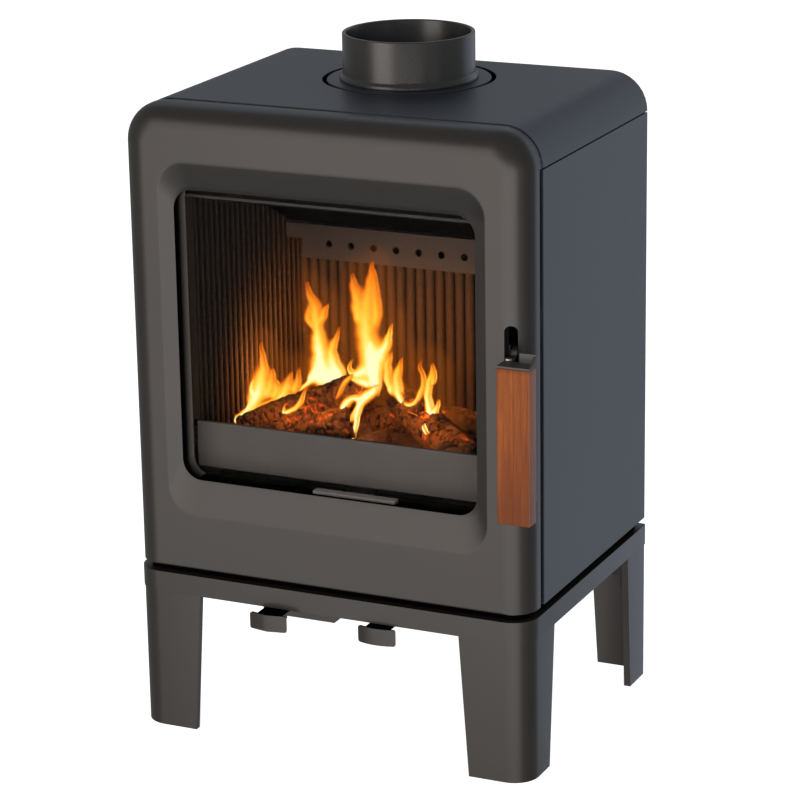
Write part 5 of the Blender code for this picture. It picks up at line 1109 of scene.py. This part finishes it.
char = Recipe("charring wood", (0.06, 0.04, 0.03))
where = char.coordinates()
layer = char.node("Attribute", attribute_name="crack")
groove = char.node("SeparateColor")
char.link(layer.outputs["Color"], groove.inputs[0])
depth = groove.outputs[0]
patch = char.noise(where, 34, 3)
fine = char.noise(where, 420, 4, 0.6)
burnt = char.noise(where, 22, 3)
bark = char.ramp(fine, [(0.3, (0.085, 0.032, 0.008)), (0.7, (0.235, 0.090, 0.021))])
coal = char.ramp(fine, [(0.3, (0.012, 0.006, 0.003)), (0.7, (0.055, 0.025, 0.010))])
bark = char.blend(char.span(burnt, 0.44, 0.60, 0.0, 1.0), bark, coal)
bark = char.blend(char.span(depth, 0.2, 0.9, 0.0, 0.95), bark, (0.006, 0.004, 0.003))
hot = char.math("MULTIPLY", char.span(depth, 0.35, 1.0, 0.0, 1.0), char.span(patch, 0.54, 0.70, 0.0, 1.0))
glow = char.ramp(hot, [(0.0, (0, 0, 0)), (0.35, (0.60, 0.060, 0.003)), (0.75, (1.0, 0.24, 0.018)),
                       (1.0, (1.0, 0.42, 0.06))])
char.set(Base_Color=bark, Roughness=0.92, Specular_IOR_Level=0.06, Emission_Color=glow, Emission_Strength=1.4)
char.bump(fine, 0.8, 0.0009)
char = char.material
LOGS = (("left", (-0.162, 0.118, 0.3226), (-0.050, 0.2125, 0.3640), 0.0262, 1, ["log_left"]),
        ("right", (0.122, 0.124, 0.3187), (-0.004, 0.2105, 0.3579), 0.0245, 2, ["log_right"]),
        ("back", (-0.128, 0.236, 0.3214), (0.116, 0.240, 0.3214), 0.0255, 3, ["log_back"]),
        ("front", (-0.128, 0.098, 0.3240), (-0.024, 0.122, 0.3530), 0.0220, 4, ()))
for label, start, end, radius, seed, replaced in LOGS:
    finish_piece(f"burning_log_{label}", log_skin(start, end, radius, seed), char, "stove_body", CHAR, replaced, 180)
print("logs", [len(piece.data.polygons) for piece in made[-4:]])

# %% [markdown]
# ## Charcoal and ash
# Under the logs lies a bed of ash with lumps of glowing charcoal. The bed is one grid lifted into
# a low heap, and the lumps are balls with flattened sides. They also fill the space under the
# raised end of the front log, so that it lies on something.

# %% Bed and lumps
ember = Recipe("glowing charcoal", (0.3, 0.06, 0.01))
where = ember.coordinates()
cells = ember.node("TexVoronoi", feature="DISTANCE_TO_EDGE")
cells.inputs["Scale"].default_value = 95
ember.link(where, cells.inputs["Vector"])
patch = ember.noise(where, 28, 3)
fine = ember.noise(where, 500, 4, 0.6)
ember.set(Base_Color=ember.ramp(fine, [(0.3, (0.020, 0.011, 0.006)), (0.7, (0.120, 0.056, 0.024))]),
          Roughness=0.95, Specular_IOR_Level=0.2)
hot = ember.math("MULTIPLY", ember.span(cells.outputs["Distance"], 0.0, 0.22, 1.0, 0.0),
                 ember.span(patch, 0.34, 0.54, 0.0, 1.0))
layer = ember.node("Attribute", attribute_name="heat")
alight = ember.node("SeparateColor")
ember.link(layer.outputs["Color"], alight.inputs[0])
hot = ember.math("MULTIPLY", hot, alight.outputs[0])
ember.set(Emission_Color=ember.ramp(hot, [(0.0, (0, 0, 0)), (0.3, (0.6, 0.04, 0.002)), (0.7, (1.0, 0.17, 0.012)),
                                          (1.0, (1.0, 0.45, 0.07))]), Emission_Strength=2.0)
ember.bump(fine, 0.9, 0.0014)
ember = ember.material
HEARTH_TOP = 0.2960
bm = bmesh.new()
bmesh.ops.create_grid(bm, x_segments=150, y_segments=110, size=0.5)
for vert in bm.verts:
    u, v = vert.co.x + 0.5, vert.co.y + 0.5
    x, y = -0.180 + 0.360 * u, 0.060 + 0.262 * v
    rim_fade = min(1.0, 8 * min(u, 1 - u, v, 1 - v))
    heap = 0.010 + 0.012 * math.exp(-((x / 0.11) ** 2 + ((y - 0.165) / 0.07) ** 2))
    grain = noise.fractal(Vector((x, y, 0)) / 0.012, 0.9, 2.1, 5)
    vert.co = (x, y, HEARTH_TOP + 0.0004 + rim_fade * (heap + 0.0035 * grain))
finish_piece("ash_bed", bm, ember, "stove_body", CHAR, (), 180)


def lump(bm, place, size, seed):
    """One lump of charcoal: a ball with flat broken sides."""
    ball = bmesh.ops.create_icosphere(bm, subdivisions=3, radius=1.0)["verts"]
    cuts = [Vector(noise.random_unit_vector()) for _ in range(9)]
    for vert in ball:
        way = vert.co.normalized()
        reach = min([1.0] + [0.72 / max(way.dot(cut), 0.01) for cut in cuts])
        reach *= 1 + 0.10 * noise.fractal(way * 3 + Vector((seed, seed, seed)), 0.9, 2.2, 3)
        vert.co = Vector(place) + way * size * reach
    return ball


noise.seed_set(7)
LUMPS = [(-0.034, 0.112, 0.316, 0.017, 0.4), (-0.060, 0.108, 0.312, 0.014, 0.4), (-0.012, 0.098, 0.326, 0.015, 1.0),
         (0.006, 0.100, 0.333, 0.015, 1.0), (0.018, 0.104, 0.326, 0.014, 0.9), (-0.086, 0.126, 0.312, 0.013, 0.3),
         (0.002, 0.140, 0.328, 0.015, 0.3), (0.040, 0.118, 0.306, 0.015, 0.2), (-0.022, 0.150, 0.330, 0.014, 0.4),
         (0.070, 0.104, 0.304, 0.013, 0.1), (0.104, 0.104, 0.314, 0.016, 0.4), (0.098, 0.112, 0.337, 0.014, 1.0),
         (0.116, 0.106, 0.333, 0.016, 1.0), (0.130, 0.100, 0.335, 0.013, 1.0), (0.146, 0.124, 0.318, 0.015, 0.2),
         (-0.150, 0.104, 0.312, 0.013, 0.4), (-0.176, 0.130, 0.314, 0.012, 0.2), (-0.110, 0.160, 0.314, 0.014, 0.2),
         (0.070, 0.190, 0.316, 0.014, 0.2), (0.040, 0.215, 0.320, 0.015, 0.2), (0.110, 0.170, 0.314, 0.014, 0.1),
         (-0.060, 0.190, 0.318, 0.013, 0.3), (0.128, 0.112, 0.318, 0.015, 0.5)]
bm = bmesh.new()
heat_layer = bm.verts.layers.float_color.new("heat")
for index, (x, y, z, size, heat) in enumerate(LUMPS):
    for vert in lump(bm, (x, y, z), size, index):
        vert[heat_layer] = (heat, 0, 0, 1)
finish_piece("charcoal", bm, ember, "stove_body", CHAR, (), 30)
print("charcoal lumps", len(LUMPS))

# %% [markdown]
# ## Flames
# Flames are glowing gas: no surface, soft at the edge, pale yellow where they are hottest and
# orange at the tips. A volume would be the faithful way, but it is slow and gives no mesh to keep.
# Here each tongue is a drawn spine with a width. Every point of a fine grid asks how deep it lies
# inside the tongues around it, and tongues that meet melt into one, as real ones do. Where the
# answer is nothing, the grid is deleted; elsewhere it swells into a thin closed cushion. The
# depth and the heat go into an attribute, and the material turns them into colour and clearness.

# %% Flame material
def fire_paint(name, cover, swirls, soft, colors, strength):
    """Glowing gas: the attribute says how deep inside and how hot, noise curls it."""
    flame = Recipe(name, (1.0, 0.5, 0.1))
    layer = flame.node("Attribute", attribute_name="fire")
    parts = flame.node("SeparateColor")
    flame.link(layer.outputs["Color"], parts.inputs[0])
    inside, warmth = parts.outputs[0], parts.outputs[1]
    swirl = flame.noise(flame.coordinates((1, 1, 0.36)), 105, 3, 0.55, 0.9)
    lick = flame.noise(flame.coordinates((1, 1, 0.22)), 330, 3, 0.6, 1.0)
    ragged = flame.math("ADD", flame.math("MULTIPLY", flame.math("SUBTRACT", swirl, 0.5), swirls),
                        flame.math("MULTIPLY", flame.math("SUBTRACT", lick, 0.5), swirls * 0.45))
    clear = flame.node("MapRange", interpolation_type="SMOOTHSTEP")
    flame.link(flame.math("ADD", inside, ragged), clear.inputs["Value"])
    clear.inputs["From Min"].default_value, clear.inputs["From Max"].default_value = soft
    clearness = flame.math("MULTIPLY", clear.outputs["Result"], flame.span(warmth, 0.0, 0.5, 0.5 * cover, cover))
    heat = flame.math("ADD", flame.math("MULTIPLY", inside, flame.span(warmth, 0.0, 1.0, 0.30, 1.10)),
                      flame.math("MULTIPLY", ragged, 0.3))
    flame.set(Base_Color=(0, 0, 0), Roughness=1.0, Specular_IOR_Level=0.0,
              Emission_Color=flame.ramp(heat, colors), Emission_Strength=strength, Alpha=clearness)
    return flame.material


FIRE_COLORS = [(0.10, (0.36, 0.030, 0.001)), (0.28, (0.72, 0.120, 0.004)), (0.48, (0.98, 0.270, 0.012)),
               (0.66, (1.0, 0.50, 0.035)), (0.82, (1.0, 0.72, 0.13)), (0.97, (1.0, 0.92, 0.50))]
flame = fire_paint("flame", 1.0, 0.42, (0.13, 0.80), FIRE_COLORS, 1.15)
glow = fire_paint("glow round the flames", 0.048, 0.02, (0.05, 1.10), [(0.0, (0.9, 0.17, 0.008)), (1.0, (1.0, 0.24, 0.012))], 1.0)

# %% Where the tongues are
# Depth behind the door's face, heat at the foot and at the tip, then (x, height, half width) from
# foot to tip, all in millimetres.
TONGUES = (
    (192, 1, 0.15, ((-22.7, 363, 0.9), (-24.6, 372.8, 4.2), (-26.9, 384.6, 7.6), (-29.2, 398.3, 12.3),
         (-31.1, 410.1, 14.4), (-33.4, 423.8, 12.7), (-35.6, 437.5, 11.4), (-36.6, 451.3, 10.6),
         (-35.5, 465.3, 9.7), (-33.1, 479.3, 8.4), (-30.7, 493.4, 6.3), (-28.7, 507.3, 3.8),
         (-28, 523.1, 0.6))),
    (192, 0.55, 0.12, ((-45.7, 452.3, 5.5), (-46.4, 468.1, 6.4), (-48.2, 481.8, 5.9), (-50.5, 493.4, 4.2),
         (-52.7, 506, 0.6))),
    (192, 0.5, 0.1, ((-23.6, 448.7, 3.8), (-23.2, 466.5, 5.1), (-24, 482.2, 4.2), (-24.7, 497.9, 2.5),
         (-24.8, 513.6, 0.4))),
    (190, 0.95, 0.35, ((-21.3, 409.7, 8.5), (-13.7, 422.5, 5.9), (-8.6, 433.9, 3.8), (-5.5, 443.2, 2.1),
         (-3.6, 453.3, 0.4))),
    (189, 0.9, 0.4, ((-35.9, 394.4, 7.2), (-47.7, 388.7, 4.7), (-54.1, 389.4, 3.2), (-57.4, 395.1, 1.7),
         (-55.5, 404.3, 0.4))),
    (189, 0.9, 0.6, ((-34.1, 378.6, 5.1), (-43.7, 380.6, 4.7), (-53.2, 382.5, 2.1))),
    (191, 1, 0.9, ((-24.2, 371.2, 1.7), (-25.3, 381.1, 3.6), (-25.7, 392, 4.7), (-26.5, 402.9, 5.5),
         (-28, 414.7, 4.7), (-29.9, 426.5, 2.1))),
    (186, 1, 0.2, ((15, 354.1, 1.5), (9.7, 363.4, 3.6), (5.2, 373.9, 5.3), (3.3, 385.7, 5.5),
         (5.6, 397.9, 4.2), (8.9, 406.2, 2.3), (10.5, 415.3, 0.4))),
    (187, 0.8, 0.15, ((-2.7, 370.7, 3.4), (-6, 382.3, 4.6), (-8.4, 393.1, 4.6), (-8.6, 404, 3.4),
         (-6.3, 412.2, 1.7), (-4.5, 419.3, 0.4))),
    (178, 0.8, 0.15, ((15.5, 365, 1.9), (22.4, 363, 2.3), (29.7, 366.3, 2.5), (35.1, 374.6, 2.7),
         (39.4, 385, 2.9), (41, 395.1, 2.5), (38.6, 402.8, 1.7), (35.8, 408.4, 1.5), (37.8, 418.5, 0.4))),
    (170, 1, 0.3, ((53.9, 347.9, 1.9), (53.6, 356.2, 5), (51.1, 365.9, 4.6), (49.8, 377.6, 3.7),
         (50.8, 389.6, 3.7), (53, 399.7, 3.5), (55.8, 407.9, 2.7), (55.9, 416.7, 0.6))),
    (170, 0.9, 0.4, ((56.1, 354.5, 3.7), (59.9, 362.9, 2.9), (62.5, 369.2, 1.7), (61.8, 375.6, 0.4))),
    (170, 0.6, 0.3, ((56.6, 394.2, 2.1), (58.4, 401.3, 1.9), (59.7, 408.3, 0.6))),
    (168, 0.9, 0.5, ((55.9, 349.1, 1.5), (65.2, 345.9, 1), (74.5, 344.2, 0.8), (77.2, 348.1, 0.4))),
    (168, 0.5, 0.5, ((24.8, 358.8, 0.8), (36.2, 355.8, 0.8), (46.6, 352, 1), (54.8, 349, 1.5))),
    (118, 0.9, 0.9, ((67.7, 362.8, 0.4), (68.5, 358.4, 1.6), (70.5, 354.7, 1.6), (73.3, 351, 0.4))),
    (125, 0.95, 0.9, ((9.5, 399.2, 1.2), (4.2, 393.1, 4.2), (-3.2, 387.1, 5.2), (-10.5, 380.2, 4.8),
         (-15.4, 371.5, 3.6), (-17.7, 362, 2.9), (-19.4, 351.9, 2.3), (-21.7, 342.7, 2.9),
         (-22.5, 334.2, 1.9))),
    (124, 0.8, 0.95, ((-10, 380.5, 2.5), (-21, 381.4, 3.1), (-29.5, 376.1, 4.2), (-33.9, 368.3, 4.2),
         (-35.5, 360.2, 4.2), (-39.5, 351.8, 3.6), (-47.1, 343.5, 3), (-55.7, 337.9, 2.3),
         (-64.2, 333.9, 0.6))),
    (124, 0.55, 0.3, ((-13.5, 373.6, 1.5), (-20.4, 363.9, 2.7), (-26.9, 354.2, 2.5), (-32.3, 347.7, 1.7),
         (-36.6, 343.2, 0.4))),
    (126, 0.5, 0.25, ((-23.5, 407.7, 1.5), (-31, 399.6, 2.3), (-36.4, 391.1, 2.3), (-40.2, 383.8, 1.9),
         (-43.7, 377.1, 0.4))),
    (122, 0.9, 0.3, ((-55.4, 335.5, 2), (-64.3, 335.8, 2), (-69, 339.1, 1.3), (-68.3, 345.6, 0.4))),
    (202, 1, 0.1, ((-93.7, 367.5, 4.2), (-96.8, 378, 10.9), (-99.3, 391.1, 11.9), (-101.1, 404.2, 10.4),
         (-102.3, 416.2, 8.8), (-102.3, 428.2, 6.7), (-103.8, 438.9, 5.4), (-105.6, 449.5, 7.2),
         (-107.1, 459, 7.2), (-110.5, 468.2, 4.9), (-114.2, 476.2, 2.6), (-117.2, 487.2, 0.6))),
    (202, 0.45, 0.15, ((-106.9, 437.4, 3.4), (-113, 441.1, 4.1), (-114.6, 449.1, 4.1), (-112.1, 458, 2.8),
         (-109.3, 464, 0.8))),
    (202, 0.45, 0.15, ((-100.9, 442.3, 3.4), (-95.5, 450.1, 3.9), (-94.1, 456.7, 2.8),
         (-91.1, 463.5, 0.5))),
    (204, 0.95, 0.15, ((-73.8, 378.8, 4.6), (-80.5, 386.1, 7.2), (-84.7, 395.8, 6.5), (-86, 405.3, 4.9),
         (-83.7, 417.6, 3.4), (-80.4, 426.4, 2.1), (-77, 437.1, 0.5))),
    (201, 0.9, 0.8, ((-77.5, 377.6, 4.6), (-87.8, 378.6, 9.3), (-100.8, 376.7, 8.8), (-110.7, 374.4, 4.7))),
    (196, 0.9, 0.5, ((-103.8, 386.2, 3.1), (-110.8, 375.2, 2.9), (-116.2, 367.6, 2.1),
         (-124.2, 360.1, 2.1), (-134, 353.6, 1.8), (-146, 348.4, 1.3), (-159.2, 342.9, 0.8))),
    (176, 0.5, 0.5, ((-184, 334.5, 0.8), (-166.1, 342.2, 1.2), (-148.9, 349.8, 1.2), (-131.7, 357.1, 1))),
    (178, 1, 0.12, ((-186.4, 332.9, 1.3), (-179.6, 339.9, 5.3), (-174.8, 348, 8.2), (-170.3, 357, 10.3),
         (-167.7, 365.9, 10.5), (-165.2, 377.1, 8.4), (-163.4, 387, 5.2), (-163.6, 396.7, 3.1),
         (-164.3, 405.1, 2.1), (-166.1, 416.5, 0.5))),
    (178, 0.8, 0.5, ((-177.1, 352.6, 2.9), (-178.1, 359.8, 2.4), (-177.9, 365.5, 1.6),
         (-175.9, 371.5, 0.4))),
    (180, 0.5, 0.15, ((-159.1, 354.1, 4.7), (-154.6, 364.4, 4.5), (-152.7, 375, 2.9),
         (-152.9, 385.2, 0.5))),
    (181, 0.5, 0.3, ((-152.4, 352.1, 3.7), (-148.5, 359.9, 3.7), (-147.2, 366.6, 1.6),
         (-148.2, 370.9, 0.5))),
    (184, 0.75, 0.15, ((-145.6, 350.4, 2.9), (-139.7, 356.4, 6.8), (-135.5, 365.4, 7.1),
         (-132.6, 373.7, 3.7), (-131.6, 382.8, 0.5))),
    (184, 0.5, 0.1, ((-126.5, 360.8, 3.9), (-122.6, 370, 3.6), (-121.8, 379.8, 2.1), (-120.8, 389.6, 0.5))),
    (150, 1, 0.35, ((-189.2, 325.6, 1.8), (-192.2, 328.6, 4), (-194.9, 333, 2.9), (-195.6, 337.8, 1.6),
         (-193.8, 343.8, 0.4))),
    (150, 0.95, 0.3, ((-188.6, 327.1, 2.9), (-183.2, 331.2, 2.6), (-179.1, 336, 2.1),
         (-176.8, 342.9, 1.6), (-174.7, 349.9, 0.4))),
    (152, 0.9, 0.4, ((-177.1, 326.4, 1.3), (-174.5, 330.9, 1.8), (-172.6, 335, 1.3), (-174, 339, 0.4))),
    (138, 0.9, 0.25, ((-122.5, 344.7, 0.8), (-116.7, 348.3, 2.3), (-108.8, 352.3, 2.8),
         (-102.3, 356.4, 2.6), (-97, 362.3, 2.6), (-93.5, 368.7, 2.1), (-90.8, 375, 1.3), (-88, 382, 0.4))),
    (138, 0.7, 0.3, ((-116.7, 349, 2.1), (-116.5, 354.1, 1.6), (-115.8, 360.2, 0.4))),
    (136, 0.3, 0.25, ((-94.9, 356.9, 0.6), (-84.5, 360.7, 0.6), (-73.7, 365.3, 0.4))),
)


def curve_through(points, share):
    """A smooth curve through points, at a share of its way."""
    spot = share * (len(points) - 1)
    index = min(int(spot), len(points) - 2)
    t = spot - index
    a, b, c, d = (points[min(max(index + k, 0), len(points) - 1)] for k in (-1, 0, 1, 2))
    return tuple(0.5 * (2 * q + (r - p) * t + (2 * p - 5 * q + 4 * r - s) * t * t + (3 * q - p - 3 * r + s) * t ** 3)
                 for p, q, r, s in zip(a, b, c, d))


# %% Melting the tongues into sheets
RIM = 1.75                   # how far the soft rim of a tongue goes out, in half widths


def fire_field(tongues, cell, widen):
    """For each grid place near a tongue: how deep inside it lies, its heat and its depth."""
    field = {}
    for number, (depth, foot_heat, tip_heat, stations) in enumerate(tongues):
        own = {}
        rows = 6 * (len(stations) - 1)
        for row in range(rows + 1):
            share = row / rows
            x, z, half = curve_through(stations, share)
            x += 1.3 * noise.noise(Vector((z / 8, number * 2.9, 4.4)))
            half = max(1.22 * half, 0.4) * (1 + 0.20 * noise.noise(Vector((z / 11, number * 3.1, 8.2)))) + widen
            reach = half * RIM
            warmth = foot_heat + (tip_heat - foot_heat) * share ** 1.2
            fade = min(1.0, 0.35 + 7 * share)
            for column in range(math.ceil((x - reach) / cell), math.floor((x + reach) / cell) + 1):
                for line in range(math.ceil((z - reach) / cell), math.floor((z + reach) / cell) + 1):
                    away = ((column * cell - x) ** 2 + (line * cell - z) ** 2) / half ** 2
                    level = math.exp(-away) * fade
                    if away < RIM ** 2 and level > own.get((column, line), (0,))[0]:
                        own[column, line] = (level, warmth)
        for spot, (level, warmth) in own.items():
            rest, heat, share, total = field.get(spot, (1.0, 0.0, 0.0, 0.0))
            field[spot] = (rest * (1 - level), heat + level * warmth, share + level * depth, total + level)
    return {spot: (1 - rest, heat / total, depth / total) for spot, (rest, heat, depth, total) in field.items()}


def fire_sheet(tongues, cell, widen):
    """A thin cushion over the tongues: a grid, cut to them and swollen to both sides."""
    field = fire_field(tongues, cell, widen)
    left, right_x = (pick(spot[0] for spot in field) + step for pick, step in ((min, -1), (max, 1)))
    low, high = (pick(spot[1] for spot in field) + step for pick, step in ((min, -1), (max, 1)))
    bm = bmesh.new()
    columns, lines = right_x - left, high - low
    bmesh.ops.create_grid(bm, x_segments=columns, y_segments=lines, size=0.5)
    fire = bm.verts.layers.float_color.new("fire")
    spots = {}
    for vert in bm.verts:
        spots[vert] = (left + round((vert.co.x + 0.5) * columns), low + round((vert.co.y + 0.5) * lines))
    empty = [face for face in bm.faces if not any(spots[vert] in field for vert in face.verts)]
    bmesh.ops.delete(bm, geom=empty, context="FACES")
    back = bmesh.ops.duplicate(bm, geom=bm.verts[:] + bm.edges[:] + bm.faces[:])
    for near, far in list(back["vert_map"].items()):
        if near in spots:
            spots[far] = spots[near]
    far_side = {item for item in back["geom"] if isinstance(item, bmesh.types.BMVert)}
    mean = sum(value[2] for value in field.values()) / len(field)
    for vert in bm.verts:
        spot = spots[vert]
        level, warmth, depth = field.get(spot, (0.0, 0.3, None))
        if depth is None:
            near = [field[key][2] for key in ((spot[0] + a, spot[1] + b) for a in (-1, 0, 1) for b in (-1, 0, 1))
                    if key in field]
            depth = sum(near) / len(near) if near else mean
        swell = 5.0 * level * (1 if vert in far_side else -1)
        vert.co = Vector((spot[0] * cell, depth + swell + 0.6 * widen, spot[1] * cell)) / 1000
        vert[fire] = (level, warmth, 0, 1)
    bmesh.ops.remove_doubles(bm, verts=bm.verts, dist=0.00001)
    bmesh.ops.recalc_face_normals(bm, faces=bm.faces)
    return bm


GROUPS = (("back", [t for t in TONGUES if t[0] >= 186]), ("middle", [t for t in TONGUES if 140 < t[0] < 186]),
          ("front", [t for t in TONGUES if t[0] <= 140]))
SHEETS = [(f"flames_{label}", tongues, 1.0, 0.0, flame) for label, tongues in GROUPS]
SHEETS += [(f"flame_glow_{label}", tongues, 3.0, 16.0, glow) for label, tongues in GROUPS[:2]]
for name, tongues, cell, widen, material in SHEETS:
    piece = finish_piece(name, fire_sheet(tongues, cell, widen), material, "stove_body", CHAR, (), 180)
    for kind in ("visible_diffuse", "visible_glossy", "visible_shadow"):
        setattr(piece, kind, False)
    print(piece.name, len(piece.data.polygons), "faces")

# %% [markdown]
# ## Firelight
# The flames are thin, so what they would shed on the ribs and the logs comes from a few soft warm
# lamps placed inside them.

# %% Firelight
# Each lamp: place, power, radius, turn towards the left wall and tilt (90 looks straight back).
FIRELIGHT = ((-0.150, 0.180, 0.380, 0.40, 0.015, 55, 85), (-0.110, 0.200, 0.385, 1.70, 0.020, 75, 85),
             (-0.100, 0.222, 0.400, 0.60, 0.020, 20, 90), (-0.030, 0.222, 0.420, 0.90, 0.025, 0, 90),
             (0.045, 0.200, 0.385, 0.62, 0.015, -15, 90), (-0.090, 0.095, 0.405, 0.30, 0.012, 0, 55),
             (-0.020, 0.085, 0.405, 0.52, 0.012, 0, 55), (0.070, 0.085, 0.395, 0.30, 0.010, 0, 55))
for index, (x, y, z, power, size, turn, tilt) in enumerate(FIRELIGHT):
    data = bpy.data.lights.new(f"firelight {index}", "SPOT")
    data.energy = power
    data.color = (1.0, 0.38, 0.09)
    data.shadow_soft_size = size
    data.spot_size = math.radians(150)
    data.spot_blend = 0.6
    lamp = bpy.data.objects.new(f"firelight {index}", data)
    lamp.location = Vector((x, y, z)) + TO_FRAME
    lamp.rotation_euler = (math.radians(tilt), 0, math.radians(turn))
    lamp.visible_glossy = False
    bpy.context.scene.collection.objects.link(lamp)
print("pieces in all", len(made))
